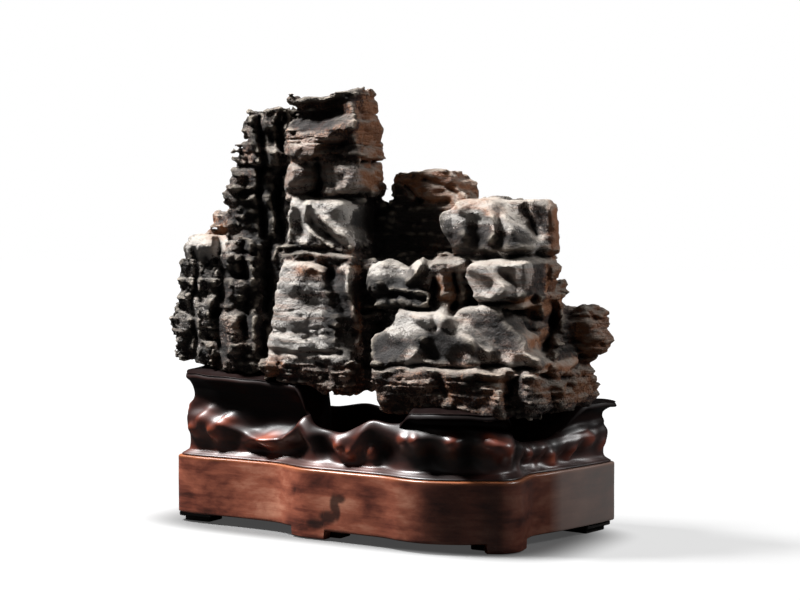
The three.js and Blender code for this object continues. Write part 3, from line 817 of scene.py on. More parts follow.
# The side that is turned to the front right was scooped and creased by running water.  Each
# fold is a V-shaped valley between two points, or a ridge where its depth is less than
# nought: across, up, across, up, half width and depth, in millimetres, seen from the point EYE.
VIEW_LOW, VIEW_HIGH, VIEW_STEP = (-190.0, 40.0), (190.0, 330.0), 0.5
FOLD_GAIN = 1.3
EYE = np.array((CAMERA_AIM - CAMERA_AHEAD * CAMERA_DISTANCE) / MM)
FOLDS = (
    # the cap and the waist below it
    (-70, 283, -44, 286, 9, 11), (-76, 256, -38, 276, 12, -6), (-45, 262, -38, 262, 6, 8),
    (-78, 290, -28, 294, 2, 3), (-30, 292, -26, 262, 4, 3),
    (-57, 254, -57, 231, 4, 9), (-71, 242, -70, 240, 12, -5), (-42, 242, -40, 240, 12, -4),
    (-84, 229, -24, 228, 3, 8),
    # the saddle and the collar below it
    (-60, 209, -42, 196, 5, 8), (-61, 222, -35, 194, 4, -3), (-72, 210, -70, 197, 7, 6),
    (-64, 222, -64, 196, 3, -3), (-82, 191, -28, 190, 2, 7), (-53, 186, -46, 174, 4, 7),
    # the shaft
    (-60, 183, -46, 179, 4, 5), (-44, 172, -36, 126, 6, 6), (-36, 181, -29, 130, 3, -4),
    (-82, 150, -52, 149, 1, 1), (-86, 137, -44, 136, 1, 1), (-72, 172, -74, 120, 14, -3),
    (-92, 122, -40, 119, 2, 3), (-68, 117, -74, 104, 3, 3), (-56, 115, -50, 100, 3, 3),
    # the ribs beside the tower
    (-95, 281, -95, 202, 3, 9), (-80, 284, -83, 198, 4, 14), (-117, 252, -90, 246, 2, 4),
    (-115, 229, -90, 233, 3, 4), (-110, 260, -108, 258, 6, 7), (-101, 283, -103, 257, 5, -4),
    (-104, 214, -94, 220, 4, 5), (-112, 244, -113, 234, 4, -4), (-89, 270, -88, 262, 4, 6),
    # the ribs between the stack and the tower
    (-123, 198, -126, 108, 4, 9), (-107, 195, -105, 132, 4, 6), (-90, 198, -95, 118, 4, 12),
    (-122, 176, -108, 171, 3, 4), (-126, 147, -104, 152, 3, 5), (-115, 142, -117, 122, 7, -5),
    (-104, 188, -93, 183, 3, 4), (-103, 160, -97, 164, 5, 5), (-110, 116, -100, 112, 2, 3),
    # the stack
    (-141, 192, -142, 108, 2, 5), (-133, 186, -132, 182, 6, 6), (-134, 168, -131, 164, 5, 4),
    (-148, 152, -146, 148, 4, 4), (-132, 136, -131, 132, 5, 5), (-147, 120, -145, 116, 4, 4),
    # the shelf and the dark recess behind it
    (-26, 214, 8, 200, 18, 7), (4, 170, 14, 182, 4, -5), (-4, 175, -2, 173, 8, 4),
    (-24, 160, 17, 159, 3, 4), (-26, 150, 21, 150, 2, 7), (-14, 168, -12, 154, 7, -3),
    # the tan rib and the boulder beside it
    (26, 181, 31, 146, 4, -4), (37, 174, 38, 150, 3, 9), (22, 170, 26, 139, 3, 6),
    (52, 181, 70, 166, 8, -6), (70, 166, 58, 155, 5, -4), (76, 172, 82, 167, 9, 5),
    (38, 152, 92, 157, 3, 8), (44, 168, 48, 160, 5, 3),
    # the draped brow above the boulder
    (40, 218, 44, 200, 7, -5), (50, 206, 54, 194, 8, 4), (64, 214, 62, 200, 4, -5),
    (70, 218, 66, 194, 5, 3), (72, 214, 92, 198, 8, -5), (88, 218, 94, 200, 4, 6),
    (63, 221, 62, 220, 6, -4), (22, 187, 107, 186, 4, 9), (98, 212, 100, 196, 7, 3),
    # the summit
    (3, 238, 13, 224, 2, 4), (18, 240, 40, 230, 2, 3), (-4, 226, 34, 222, 3, 4),
    # the dome and the slope that runs down from it
    (30, 143, 60, 120, 7, -5), (20, 124, 34, 115, 9, 7), (14, 128, 6, 114, 6, -4),
    (-15, 139, -9, 124, 8, 7), (38, 143, 62, 122, 2, 2), (64, 131, 76, 120, 12, 3),
    (92, 143, 103, 139, 6, 9), (93, 124, 99, 122, 5, 7), (84, 112, 96, 108, 6, 4),
    # the foot of the wing and the knob at its end
    (-23, 111, 103, 110, 2, 5), (28, 108, 32, 92, 3, 3), (79, 108, 75, 88, 4, 5),
    (52, 100, 70, 98, 4, 4), (104, 151, 103, 120, 5, 13),
    (134, 145, 134, 144, 2, 4), (112, 146, 140, 145, 1, 2), (112, 128, 138, 127, 2, 4),
    (100, 104, 116, 101, 5, 4),
)

# Where the side turned to the eye is paler or darker than its block, and rustier: the pale
# tops are partly painted light and the dark hollows painted shade.  Across, up, half width,
# half height, how much paler, how much rustier.
TINTS = (
    # pale tops, partly painted light, and worn faces
    (-60, 262, 18, 9, 1.4, 0.1), (-71, 244, 10, 9, 1.0, 0), (-65, 221, 12, 6, 0.6, 0),
    (-80, 207, 4, 16, 0.4, 0), (-50, 188, 17, 4, 0.9, 0.1), (-74, 158, 15, 28, 0.25, 0),
    (-82, 123, 11, 4, 0.6, 0), (-138, 194, 10, 4, 0.6, 0), (-138, 186, 4, 7, 0.5, 0),
    (-110, 201, 7, 3, 0.7, 0), (-118, 192, 3, 7, 0.7, 0), (-108, 177, 6, 3, 0.7, 0),
    (-113, 140, 7, 6, 0.8, 0.2), (-128, 122, 4, 14, 0.6, 0.3), (-90, 283, 6, 6, 0.6, 0),
    (-106, 258, 5, 6, 0.6, 0), (-88, 262, 8, 4, 0.6, 0), (-96, 256, 3, 3, 0.6, 0),
    (-14, 178, 17, 3, 0.4, 0), (12, 180, 4, 4, 1.2, 0), (40, 212, 14, 6, 0.6, 0),
    (60, 212, 14, 4, 0.8, 0), (83, 205, 12, 5, 0.6, 0), (30, 207, 8, 8, 0.4, 0),
    (47, 166, 11, 11, 1.7, 0), (14, 144, 18, 7, 1.4, 0), (10, 118, 6, 7, 1.5, 0),
    (40, 134, 18, 5, 0.6, 0), (32, 164, 8, 14, 1.0, 0.5), (36, 109, 13, 3, 0.8, 0),
    (66, 102, 9, 5, 0.5, 0), (8, 110, 5, 3, 0.5, 0), (-18, 168, 3, 4, 0.4, 0),
    (-42, 232, 8, 8, 0.3, 0), (-49, 212, 9, 14, 0.1, 0.05), (68, 172, 20, 12, 2.3, 0),
    (-16, 155, 6, 2, 0.5, 0), (-4, 155, 8, 2, 0.5, 0), (85, 118, 10, 8, 0.15, 0.1),
    # dark hollows: painted shade
    (-62, 281, 18, 9, -1.2, 0.2), (-45, 256, 8, 7, -0.8, 0), (0, 210, 28, 23, -2.4, -0.6),
    (42, 209, 24, 12, -0.5, 0), (-96, 215, 14, 30, -0.9, 0), (-34, 140, 9, 38, -1.0, 0),
    (-8, 163, 20, 9, -3.0, 0), (14, 158, 10, 8, -1.6, 0), (28, 126, 17, 11, -1.8, 0),
    (-8, 122, 14, 11, -1.6, 0), (42, 99, 12, 8, -0.7, 0), (-46, 152, 7, 28, -1.6, 0.1),
    (-69, 198, 7, 7, -0.3, 0), (-52, 197, 7, 7, -0.5, 0), (-104, 160, 7, 24, -1.3, 0),
    (118, 133, 8, 22, -0.6, 0.2), (96, 164, 7, 12, -0.8, 0.2), (-99, 275, 4, 10, -0.6, 0),
    (-45, 240, 7, 8, -0.3, 0), (50, 199, 19, 10, -1.8, 0.4), (78, 196, 12, 8, -1.4, 0.1),
    (-55, 297, 26, 5, -0.9, 0.1), (12, 172, 5, 6, -1.2, 0), (70, 136, 22, 12, -1.0, 0),
    (20, 128, 14, 7, -0.9, 0), (-108, 196, 6, 7, -0.6, 0), (94, 142, 8, 6, -0.9, 0.1),
    (-48, 174, 9, 8, -0.5, 0.2), (-145, 185, 3, 6, -0.6, 0), (-129, 185, 3, 7, -0.6, 0),
    # rust
    (-16, 275, 11, 30, 1.9, 2.0), (-36, 281, 7, 9, -0.2, 0.7), (-16, 243, 9, 11, 1.4, 1.1),
    (-128, 206, 10, 9, 0.9, 1.0), (34, 234, 30, 14, 2.6, 1.6), (92, 153, 20, 5, 1.2, 0.9),
    (139, 138, 18, 26, 2.2, 1.8), (109, 216, 6, 28, 2.2, 1.6), (109, 172, 8, 18, 2.2, 1.6),
    (116, 100, 24, 15, 2.2, 1.0), (-60, 179, 12, 6, -0.1, 0.7), (-30, 184, 8, 8, 0, 0.6),
    (66, 218, 8, 4, 0.1, 0.8), (-29, 150, 4, 24, 0, 0.8), (30, 190, 20, 4, 0, 0.4),
    (50, 98, 34, 12, 0.6, 0.4), (94, 134, 8, 14, 0.9, 0.9), (-86, 112, 6, 8, 0.2, 0.4),
    (-104, 244, 5, 20, 0, 0.3),
)


def relief_map():
    """How deep the folds are over the view from EYE: each is deepest along its line and fades
    evenly to nothing on both sides, where folds cross their depths add up, and sine waves
    across both ways bend them and make them shallower and deeper along their length.  Each
    fold is drawn somewhat wider and deeper than stated, which makes up for that fading."""
    across = np.arange(VIEW_LOW[0], VIEW_HIGH[0], VIEW_STEP)[:, None]
    up = np.arange(VIEW_LOW[1], VIEW_HIGH[1], VIEW_STEP)[None, :]
    across, up = (
        across + 1.5 * np.sin(up / 7.5 + across / 23) + 0.5 * np.sin(up / 2.9 + across / 7),
        up + 1.1 * np.sin(across / 8.5 + up / 31) + 0.4 * np.sin(across / 2.9 + up / 9),
    )
    fading = 1 + 0.35 * np.sin(across / 5.3 + up / 11) * np.sin(up / 4.1 - across / 13)
    relief = np.zeros(across.shape, np.float32)
    for start_across, start_up, end_across, end_up, half_width, depth in FOLDS:
        run, rise = end_across - start_across, end_up - start_up
        share = (across - start_across) * run + (up - start_up) * rise
        share = np.clip(share / (run**2 + rise**2), 0, 1)
        gap = np.hypot(across - start_across - share * run, up - start_up - share * rise)
        relief += FOLD_GAIN * depth * np.clip(1 - gap / (FOLD_GAIN * half_width), 0, 1)
    return relief * fading


def seen_from_eye(place):
    """Where points appear from EYE, as millimetres across and up on a plane through the stone,
    and the directions from them to EYE."""
    right = np.array((math.cos(CAMERA_TURN), math.sin(CAMERA_TURN), 0))
    above = np.cross(right, CAMERA_AHEAD)
    ray = place + SHIFT - EYE
    scale = CAMERA_DISTANCE / MM / (ray @ np.array(CAMERA_AHEAD))
    toward = -ray / np.linalg.norm(ray, axis=1)[:, None]
    return ray @ right * scale, ray @ above * scale + CAMERA_AIM.z / MM, toward


def relief_depth(relief, across, up):
    """Reads the relief between its entries."""
    across, up = (across - VIEW_LOW[0]) / VIEW_STEP, (up - VIEW_LOW[1]) / VIEW_STEP
    column, row = across.astype(int), up.astype(int)
    s, t = (across - column).astype(np.float32), (up - row).astype(np.float32)
    return (
        relief[column, row] * (1 - s) * (1 - t) + relief[column + 1, row] * s * (1 - t)
        + relief[column, row + 1] * (1 - s) * t + relief[column + 1, row + 1] * s * t
    )


def carve_relief(axes, field, relief):
    """Cuts the relief into the blocks: a point stays solid only where the point that lies
    nearer the eye by the depth of the relief is solid too."""
    near = np.nonzero((field < RELIEF_OUTSIDE) & (field > -RELIEF_INSIDE))
    place = np.stack([axis[index] for axis, index in zip(axes, near)], 1)
    across, up, toward = seen_from_eye(place)
    depth = relief_depth(relief, across, up)
    ahead_of = sample(axes, field, place + toward * depth[:, None])
    here = field[near]
    field[near] = np.where(depth > 0, np.maximum(here, ahead_of), np.minimum(here, ahead_of))
    return field


def lattice_noise(axes, cells, random):
    """Smooth noise over the whole grid: random heights on a coarse lattice, its cells so long
    along each axis, rounded off by cubic basis weights along each axis in turn."""
    weights = []
    for axis, cell in zip(axes, cells):
        place = (axis - axis[0]) / cell
        knots = np.arange(int(place[-1]) + 4) - 1
        reach = np.abs(place[:, None] - knots[None, :])
        near = 2 / 3 - reach**2 + reach**3 / 2
        far = np.clip(2 - reach, 0, None) ** 3 / 6
        weights.append(np.where(reach < 1, near, far).astype(np.float32))
    heights = random.uniform(-2.4, 2.4, [w.shape[1] for w in weights]).astype(np.float32)
    for axis, weight in enumerate(weights):
        heights = np.moveaxis(np.tensordot(weight, heights, (1, axis)), 0, axis)
    return heights


def chunk_planes(block, random):
    """The faces of a block and the breaks across its edges and corners, as outward normals
    and how far each lies from the middle of the block."""
    low, high = np.array(block["spans"], float).T
    left, right, front, back = block["inset"]
    (tilt_x, tilt_y), (under_x, under_y) = block["tilt"], block["under"]
    size = high - low
    half = size / 2
    faces = [
        ((-1, 0, left / size[2]), (-half[0], 0, -half[2])),
        ((1, 0, right / size[2]), (half[0], 0, -half[2])),
        ((0, -1, front / size[2]), (0, -half[1], -half[2])),
        ((0, 1, back / size[2]), (0, half[1], -half[2])),
        ((-tilt_x / size[0], -tilt_y / size[1], 1), (0, 0, half[2])),
        ((under_x / size[0], under_y / size[1], -1), (0, 0, -half[2])),
    ]
    breaks = [(x, y, z, 4.5) for x in (-1, 1) for y, z in ((-1, 0), (1, 0), (0, -1), (0, 1))]
    breaks += [(0, y, z, 4.0) for y in (-1, 1) for z in (-1, 1)]
    for *toward, most in breaks:
        normal = np.array(toward) * random.uniform(0.4, 1.6, 3)
        cut = random.uniform(0.5, most) * block["chip"]
        faces.append((normal, half * toward - cut * normal / np.linalg.norm(normal)))
    normals = np.array([np.array(n, float) / np.linalg.norm(n) for n, _ in faces])
    offsets = np.array([n @ np.array(p, float) for n, (_, p) in zip(normals, faces)])
    return normals.astype(np.float32), offsets.astype(np.float32)


def egg_distance(place, egg):
    """The signed distance, nearly, to an egg-shaped hollow or swelling."""
    x, y, z = (axis - middle for axis, middle in zip(place, egg[:3]))
    lean = math.radians(egg[6])
    across = x * math.cos(lean) + z * math.sin(lean)
    upward = z * math.cos(lean) - x * math.sin(lean)
    a, b, c = egg[3:6]
    length = np.sqrt((across / a) ** 2 + (y / b) ** 2 + (upward / c) ** 2)
    slope = np.sqrt((across / a**2) ** 2 + (y / b**2) ** 2 + (upward / c**2) ** 2) + 1e-6
    return length * (length - 1) / slope


def window(axes, middle, half, border):
    """The slices of the grid that cover a box and a border round it."""
    return tuple(
        slice(*np.searchsorted(axis, (place - size - border, place + size + border)))
        for axis, place, size in zip(axes, middle, half)
    )


def stone_blocks(axes, warped):
    """Joins the blocks: the distance to the nearest, the distance to the next nearest, and
    which block is nearest, at every point of the grid."""
    random = np.random.default_rng(11)
    shape = [len(axis) for axis in axes]
    first, second = np.full((2, *shape), 9.0, np.float32)
    owner = np.zeros(shape, np.int16)
    for number, block in enumerate(CHUNKS):
        low, high = np.array(block["spans"], float).T
        middle = (low + high) / 2
        normals, offsets = chunk_planes(block, random)
        soft = LOOKS[block["look"]]["round"]
        offsets = offsets + 0.4 + 0.1 * soft
        area = window(axes, middle, (high - low) / 2, BLOCK_BORDER)
        place = [axis[area] - centre for axis, centre in zip(warped, middle)]
        distance = None
        for normal, offset in zip(normals, offsets):
            face = normal[0] * place[0] + normal[1] * place[1] + normal[2] * place[2] - offset
            if distance is None:
                distance = face
                continue
            share = np.maximum(1 - np.abs(distance - face) / soft, 0)
            distance = np.maximum(distance, face) + share**2 * soft / 4
        old = first[area]
        closer = distance < old
        second[area] = np.where(closer, old, np.minimum(second[area], distance))
        owner[area] = np.where(closer, number, owner[area])
        first[area] = np.minimum(old, distance)
    blend = np.clip(1 - (second - first) / BLOCK_BLEND, 0, 1)
    return first - 1.5 * blend**2, second, owner


def look_of(key, owner):
    """How strongly the block that each point belongs to has one of its look's qualities."""
    return np.array([LOOKS[block["look"]][key] for block in CHUNKS], np.float32)[owner]


def cells_around(place, cell, jitter):
    """For each of the eight cells of a jittered lattice about every place, the way from the
    cell's own point to the place, measured in cells, and the cell's entry in the table."""
    scaled = place / np.asarray(cell, np.float32)
    corner = np.floor(scaled - 0.5).astype(np.int32)
    for step in np.ndindex(2, 2, 2):
        cube = corner + np.array(step, np.int32)
        entry = tuple((cube % len(jitter)).T)
        yield scaled - (cube + jitter[entry]), entry


def cell_bowls(place, cell, seed):
    """Scalloping: one minus the squared distance to the nearest of a jittered lattice of
    points, so each cell is a shallow bowl and sharp rims stand between the cells."""
    jitter = np.random.default_rng(seed).uniform(0.2, 0.8, LATTICE).astype(np.float32)
    nearest = np.full(len(place), 9.0, np.float32)
    for away, _ in cells_around(place, cell, jitter):
        nearest = np.minimum(nearest, (away**2).sum(1))
    return 1 - nearest


def cell_facets(place, cell, seed):
    """Broken faces: each point of a jittered lattice has a flat face tilted at random, steeper
    far out, and every place takes the lowest face near it, so sharp edges stand between."""
    random = np.random.default_rng(seed)
    jitter = random.uniform(0.2, 0.8, LATTICE).astype(np.float32)
    tilt = random.uniform(-0.55, 0.55, LATTICE).astype(np.float32)
    lowest = np.full(len(place), 9.0, np.float32)
    for away, entry in cells_around(place, cell, jitter):
        face = (away * tilt[entry]).sum(1) + 1.1 * (away**2).sum(1) ** 2
        lowest = np.minimum(lowest, face)
    return lowest


def layer_table(length, thin, thick, seed):
    """A line of flat steps: random levels, each held for a random thickness, with narrow
    slopes between them, read at a tenth of a millimetre."""
    random = np.random.default_rng(seed)
    edges = np.cumsum(random.uniform(thin, thick, int(length / thin) + 2))
    levels = random.uniform(-1, 1, len(edges) + 1)
    at = np.arange(0, length, 0.1)
    return levels[np.searchsorted(edges, at)].astype(np.float32)


def read_table(table, value):
    """The table's level at each value, blended between its neighbouring entries."""
    place = np.clip(value * 10, 0, len(table) - 2)
    low = place.astype(np.int32)
    share = place - low
    return table[low] * (1 - share) + table[low + 1] * share


def weather(axes, field, first, second, owner, noises):
    """Works the weathering into a skin of grid points around the surface: steps between the
    beds, upright joints and cracks, scalloped bowls, broken faces, plain roughness, and
    creases where blocks meet.  What is added to the field is taken off the stone."""
    skin = np.nonzero(np.abs(field) < SKIN)
    place = np.stack([axis[index] for axis, index in zip(axes, skin)], 1).astype(np.float32)
    rough, bedded, bowled, cracked = (
        look_of(key, owner[skin]) for key in ("rough", "beds", "bowls", "cracks")
    )
    broad, middling, fine, finest = (noise[skin] for noise in noises)
    x, y, z = place.T
    change = np.zeros(len(place), np.float32)
    level = z - 80 + 2.0 * broad + 0.7 * fine + 0.03 * x
    thick_beds = read_table(layer_table(260, 4.0, 11.0, 21), level)
    thin_beds = read_table(layer_table(260, 1.3, 3.6, 22), level + 0.4 * finest)
    change += bedded * (1.1 * thick_beds + 0.75 * thin_beds)
    upright = x + 170 + 2.0 * broad + 0.4 * y
    joints = read_table(layer_table(360, 5.0, 15.0, 23), upright)
    change += cracked * joints
    crack = np.abs((upright / CRACKS_APART + 0.4 * fine) % 1.0 - 0.5) * CRACKS_APART
    change += cracked * 1.8 * np.exp(-((crack / 0.9) ** 2))
    big = cell_bowls(place + 2 * fine[:, None], (17, 15, 9), 31)
    small = cell_bowls(place + finest[:, None], (7, 6.5, 4), 32)
    change += bowled * (2.6 * (big - 0.6) + 1.1 * (small - 0.6))
    breaks = 6.0 * cell_facets(place + fine[:, None], (19, 17, 13), 33)
    breaks += 3.2 * cell_facets(place + 0.6 * finest[:, None], (8, 7.5, 5.5), 34)
    change += (rough + 0.15) * (breaks - 0.3)
    crags = 1.5 * np.abs(middling) + 1.2 * np.abs(fine)
    change += rough * (crags + finest - 0.8) + 0.25 * finest + 0.3 * np.abs(fine)
    between = second[skin] - first[skin]
    crease = np.exp(-((between / 1.2) ** 2))
    change += crease * np.clip(1.6 * fine + 0.3, 0, 1.6)
    field[skin] += change
    return field


def stone_field(relief):
    """The stone as a signed field in millimetres on a regular grid, less than nought inside,
    with the grid's axes and the block that each point belongs to."""
    low, high = (np.array(corner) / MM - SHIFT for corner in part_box("stone"))
    axes = [np.arange(a - 7, b + 7, GRID, dtype=np.float32) for a, b in zip(low, high)]
    random = np.random.default_rng(5)
    x, y, z = np.meshgrid(*axes, indexing="ij", sparse=True)
    warped = []
    for axis in (x, y, z):
        broad = lattice_noise(axes, (26, 26, 26), random)
        fine = lattice_noise(axes, (10, 10, 8), random)
        warped.append(axis + 2.2 * broad + 0.9 * fine)
    first, second, owner = stone_blocks(axes, warped)
    field = first.copy()
    for egg in BULGES:
        area = window(axes, egg[:3], egg[3:6], 6)
        swelling = egg_distance([axis[area] for axis in warped], egg)
        gap = np.clip(0.5 + 0.5 * (swelling - field[area]) / 3.0, 0, 1)
        field[area] = swelling * (1 - gap) + field[area] * gap - 3.0 * gap * (1 - gap)
    field = carve_relief(axes, field, relief)
    for egg in SCOOPS:
        reach = max(egg[3], egg[5])
        area = window(axes, egg[:3], (reach, egg[4], reach), 4)
        hollow = egg_distance([axis[area] for axis in warped], egg)
        field[area] = np.maximum(field[area], -hollow)
    noises = [
        lattice_noise(axes, cells, random)
        for cells in ((26, 26, 16), (15, 15, 6), (8, 8, 3.4), (3.4, 3.4, 1.9))
    ]
    return axes, weather(axes, field, first, second, owner, noises), owner


def net_surface(axes, field):
    """A closed surface of quads where the field changes sign: one point in each cube that the
    surface crosses, at the mean of the crossings of its edges, and one quad for each crossed
    edge of the grid."""
    inside = field < 0
    count = np.zeros([n - 1 for n in field.shape], np.int8)
    for step in np.ndindex(2, 2, 2):
        area = tuple(slice(s, s + n - 1) for s, n in zip(step, field.shape))
        count += inside[area]
    cubes = np.nonzero((count > 0) & (count < 8))
    corner = np.array(cubes).T
    values = {step: field[tuple((corner + step).T)] for step in np.ndindex(2, 2, 2)}
    total = np.zeros(corner.shape, np.float32)
    crossings = np.zeros(len(corner), np.float32)
    for start in np.ndindex(2, 2, 2):
        for axis in range(3):
            if start[axis]:
                continue
            end = tuple(1 if i == axis else s for i, s in enumerate(start))
            a, b = values[start], values[end]
            crossed = (a < 0) != (b < 0)
            share = np.where(crossed, a / np.where(crossed, a - b, 1), 0)
            for i in range(3):
                total[:, i] += crossed * (start[i] + (share if i == axis else 0))
            crossings += crossed
    points = corner + total / crossings[:, None]
    low = np.array([axis[0] for axis in axes])
    index = np.full(count.shape, -1, np.int32)
    index[cubes] = np.arange(len(corner))
    faces = []
    for axis in range(3):
        start = inside.take(range(inside.shape[axis] - 1), axis)
        end = inside.take(range(1, inside.shape[axis]), axis)
        edge = np.array(np.nonzero(start != end)).T
        one, two = [i for i in range(3) if i != axis]
        edge = edge[(edge[:, one] > 0) & (edge[:, two] > 0)]
        leaving = start[tuple(edge.T)]
        quad = []
        for back_one, back_two in ((1, 1), (0, 1), (0, 0), (1, 0)):
            cube = edge.copy()
            cube[:, one] -= back_one
            cube[:, two] -= back_two
            quad.append(index[tuple(cube.T)])
        quad = np.stack(quad, 1)
        turned = leaving if axis != 1 else ~leaving
        quad[~turned] = quad[~turned][:, ::-1]
        faces.append(quad)
    return points * GRID + low, np.concatenate(faces)


def largest_part(points, faces):
    """Keeps the largest connected part of the surface and drops loose crumbs: each point
    takes the least label among its neighbours until nothing changes."""
    label = np.arange(len(points))
    while True:
        least = label[faces].min(1)
        new = label.copy()
        np.minimum.at(new, faces.ravel(), np.repeat(least, 4))
        new = new[new]
        if (new == label).all():
            break
        label = new
    main = np.bincount(label).argmax()
    kept = label == main
    number = np.cumsum(kept) - 1
    return points[kept], number[faces[kept[faces[:, 0]]]]


def box_blur(values, reach, times=2):
    """Averages the values over a cube of the given reach, several times over."""
    for _ in range(times):
        for axis in range(3):
            width = [(0, 0)] * 3
            width[axis] = (reach + 1, reach)
            total = np.cumsum(np.pad(values, width, mode="edge"), axis=axis, dtype=np.float32)
            size = values.shape[axis]
            high = np.take(total, range(2 * reach + 1, 2 * reach + 1 + size), axis=axis)
            lowest = np.take(total, range(0, size), axis=axis)
            values = (high - lowest) / (2 * reach + 1)
    return values


def grid_place(axes, points):
    """Where points lie on the grid, counted in its steps."""
    return np.stack([(points[:, i] - axes[i][0]) / GRID for i in range(3)], 1)


def sample(axes, values, points):
    """Reads a grid of values at scattered points, blended between the eight around each."""
    place = grid_place(axes, points)
    place = np.clip(place, 0, np.array(values.shape) - 1.001)
    low = place.astype(np.int32)
    share = place - low
    total = np.zeros(len(points), np.float32)
    for step in np.ndindex(2, 2, 2):
        weight = np.prod([share[:, i] if s else 1 - share[:, i] for i, s in enumerate(step)], 0)
        total += weight * values[tuple((low + step).T)]
    return total


def limestone():
    """Weathered limestone: near black in the hollows, partly dirt and partly painted shade; grey
    on the faces and paler on those that look up, partly dust and partly painted light; cream
    on the ridges, partly wear and partly painted highlight; and rust brown where iron has
    stained it.  The smooth faces keep a dull shine."""
    stone, shader, place = new_material("weathered limestone")
    pale, rust, ridge, hollow, dusty, craggy, layered = (
        node(stone, "Attribute", {"attribute_name": name}, {}, "Fac")
        for name in ("pale", "rust", "ridge", "hollow", "dusty", "craggy", "layered")
    )
    # Mottling about 12 mm across, grit about 1.6 mm across, and beds about 2.3 mm thick.
    mottle = node(stone, "TexNoise", {"Scale": 80.0, "Detail": 6.0, "Roughness": 0.6},
                  {"Vector": place})
    grit = node(stone, "TexNoise", {"Scale": 620.0, "Detail": 3.0, "Roughness": 0.7},
                {"Vector": place})
    level = node(stone, "Mapping", {"Scale": (34, 34, 430)}, {"Vector": place})
    beds = node(stone, "TexNoise", {"Scale": 1.0, "Detail": 5.0, "Roughness": 0.6},
                {"Vector": level})
    # The grit shows half as strongly on the smooth faces as on the craggy ones.
    speck = node(stone, "Math", {"operation": "SUBTRACT", 1: 0.5}, {0: grit})
    gritty = node(stone, "Math", {"operation": "MULTIPLY_ADD", 1: 0.9, 2: 0.7}, {0: craggy})
    grain = node(stone, "Math", {"operation": "MULTIPLY_ADD", 2: -0.1}, {0: speck, 1: gritty})
    mixed = node(stone, "Math", {"operation": "MULTIPLY_ADD", 1: 1.7}, {0: mottle, 2: grain})
    tone = node(stone, "Math", {"operation": "MULTIPLY_ADD", 1: 0.36}, {0: pale, 2: mixed})
    # The palest faces are level in tone, with a paler rim where they begin.
    greys = node(stone, "ValToRGB", {}, {"Fac": tone}, stops=(
        (0.5, "15110f"), (0.75, "2a2522"), (0.95, "514b47"), (1.0, "d6d2cc"), (1.0, "a5a09b")))
    browns = node(stone, "ValToRGB", {}, {"Fac": tone}, stops=(
        (0.5, "1c110c"), (0.75, "402417"), (0.95, "6e4229"), (1.0, "c8946a"), (1.0, "966240")))
    rust_edge = node(stone, "Math", {"operation": "MULTIPLY_ADD", 1: 1.6}, {0: beds, 2: rust})
    rusting = node(stone, "MapRange", {"From Min": 0.85, "From Max": 1.6}, {"Value": rust_edge})
    colour = node(stone, "Mix", {"data_type": "RGBA"}, {0: rusting, 6: greys, 7: browns}, 2)
    # Paler tops are partly dust and partly painted light; paler ridges partly wear and partly
    # painted highlight; darker hollows partly dirt and partly painted shade.
    dust = node(stone, "Math", {"operation": "MULTIPLY", "use_clamp": True}, {0: dusty, 1: mixed})
    for amount, tint in ((dust, "a69e94"), (ridge, "bcb0a0"), (hollow, "120f0e")):
        colour = node(stone, "Mix", {"data_type": "RGBA", 7: linear(tint)},
                      {0: amount, 6: colour}, 2)
    rough = node(stone, "MapRange", {"To Min": 0.78, "To Max": 0.5}, {"Value": pale})
    # Wrinkles about 4 mm long on the faces, and ledges where one bed ends and the next begins.
    wrinkle = node(stone, "TexNoise", {"Scale": 260.0, "Detail": 6.0, "Roughness": 0.65},
                   {"Vector": place})
    ledges = node(stone, "MapRange",
                  {"interpolation_type": "SMOOTHSTEP", "From Min": 0.44, "From Max": 0.56},
                  {"Value": beds})
    how_much = node(stone, "Math", {"operation": "MULTIPLY_ADD", 1: 0.7, 2: 0.3}, {0: craggy})
    links = {"Height": wrinkle, "Strength": how_much}
    bump = node(stone, "Bump", {"Distance": 0.0075}, links)
    for height, distance, strength in ((ledges, 0.0012, layered), (grit, 0.0030, how_much)):
        links = {"Height": height, "Strength": strength, "Normal": bump}
        bump = node(stone, "Bump", {"Distance": distance}, links)
    fill(shader, {"IOR": 1.5}, {"Base Color": colour, "Roughness": rough, "Normal": bump})
    return stone


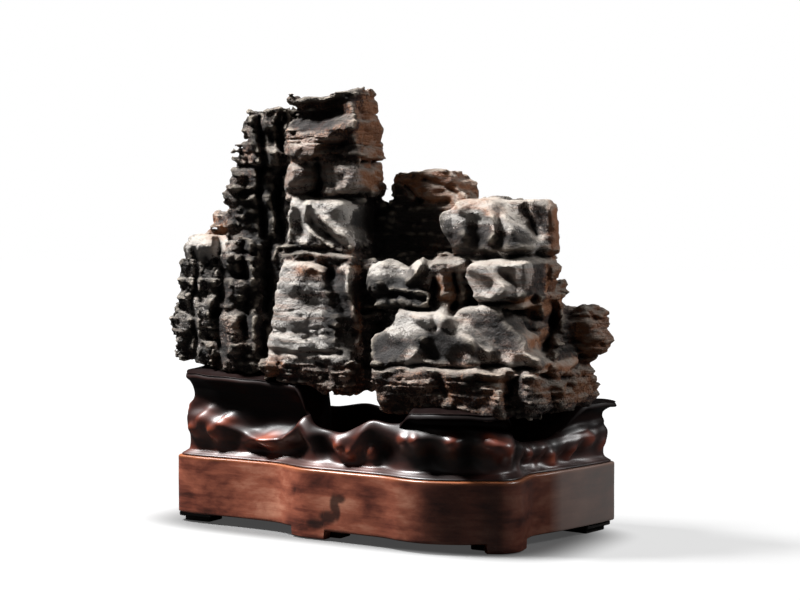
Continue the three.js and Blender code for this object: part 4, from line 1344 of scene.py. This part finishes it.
def thin_out(piece):
    """Thins the mesh where it is nearly flat, down to the number of triangles allowed."""
    thin = piece.modifiers.new("thin", "DECIMATE")
    thin.ratio = min(1.0, STONE_TRIANGLES / (2 * len(piece.data.polygons)))
    depsgraph = bpy.context.evaluated_depsgraph_get()
    mesh = bpy.data.meshes.new_from_object(piece.evaluated_get(depsgraph))
    piece.modifiers.clear()
    piece.data = mesh
    mesh.name = piece.name
    mesh.set_sharp_from_angle(angle=math.radians(34))
    return mesh


def read_vectors(mesh, name):
    """One of the vectors of each of the mesh's points, as rows."""
    flat = np.empty(len(mesh.vertices) * 3, np.float32)
    mesh.vertices.foreach_get(name, flat)
    return flat.reshape(-1, 3)


def add_stone():
    """Meshes the field, thins the mesh, and stores for each point how pale and rusty its block
    is, and how far it stands on a ridge or lies in a hollow: a point is on a ridge where
    little of the stone is close round it, and in a hollow where much of it is."""
    relief = relief_map()
    axes, field, owner = stone_field(relief)
    points, faces = largest_part(*net_surface(axes, field))
    piece = add_piece("scholar_stone", points, faces, limestone(), "weathered_stone", "stone")
    mesh = thin_out(piece)
    place = read_vectors(mesh, "co") / MM - SHIFT
    normal = read_vectors(mesh, "normal")
    solid = np.clip(0.5 - field / 2.2, 0, 1).astype(np.float32)
    near = sample(axes, box_blur(solid, 2), place)
    wide = sample(axes, box_blur(solid, 8), place)
    cell = np.clip(np.rint(grid_place(axes, place)), 0, np.array(field.shape) - 1).astype(int)
    block = owner[tuple(cell.T)]
    across, up, toward = seen_from_eye(place)
    turned = np.clip((normal * toward).sum(1) * 3 + 0.6, 0, 1)
    pale, rust = look_of("pale", block), look_of("rust", block)
    # Painted light on pale tops and painted shade in dark hollows, with rust, on the side turned
    # to the eye.
    for middle, height, half_across, half_up, paler, rustier in TINTS:
        share = ((across - middle) / half_across) ** 2 + ((up - height) / half_up) ** 2
        share = np.exp(-0.8 * share**2) * turned
        pale, rust = pale + 0.8 * paler * share, rust + rustier * share
    depth = relief_depth(relief, across, up) * turned
    # Partly dirt and partly painted shade: darker where much stone lies close round and where the
    # folds run deep.
    hollow = (wide - 0.58) * 3.2 + (near - 0.56) * 2.5 + 0.02 * (depth - 4)
    # Faces that look up are painted paler, partly for dust and partly as painted light.
    facing_up = np.clip(normal[:, 2] * 1.5 - 0.2, 0, 1)
    add_attributes(
        piece,
        craggy=np.clip(look_of("rough", block), 0, 1),
        layered=np.clip(look_of("beds", block), 0, 1),
        pale=pale,
        rust=np.clip(rust, 0, 1.2),
        # Partly wear and partly painted highlight: paler where little stone lies close round.
        ridge=np.clip((0.42 - near) * 4.5, 0, 1) * 0.7,
        hollow=np.clip(hollow, 0, 0.92),
        dusty=facing_up * np.clip(0.45 + pale, 0, 1),
    )


add_stone()
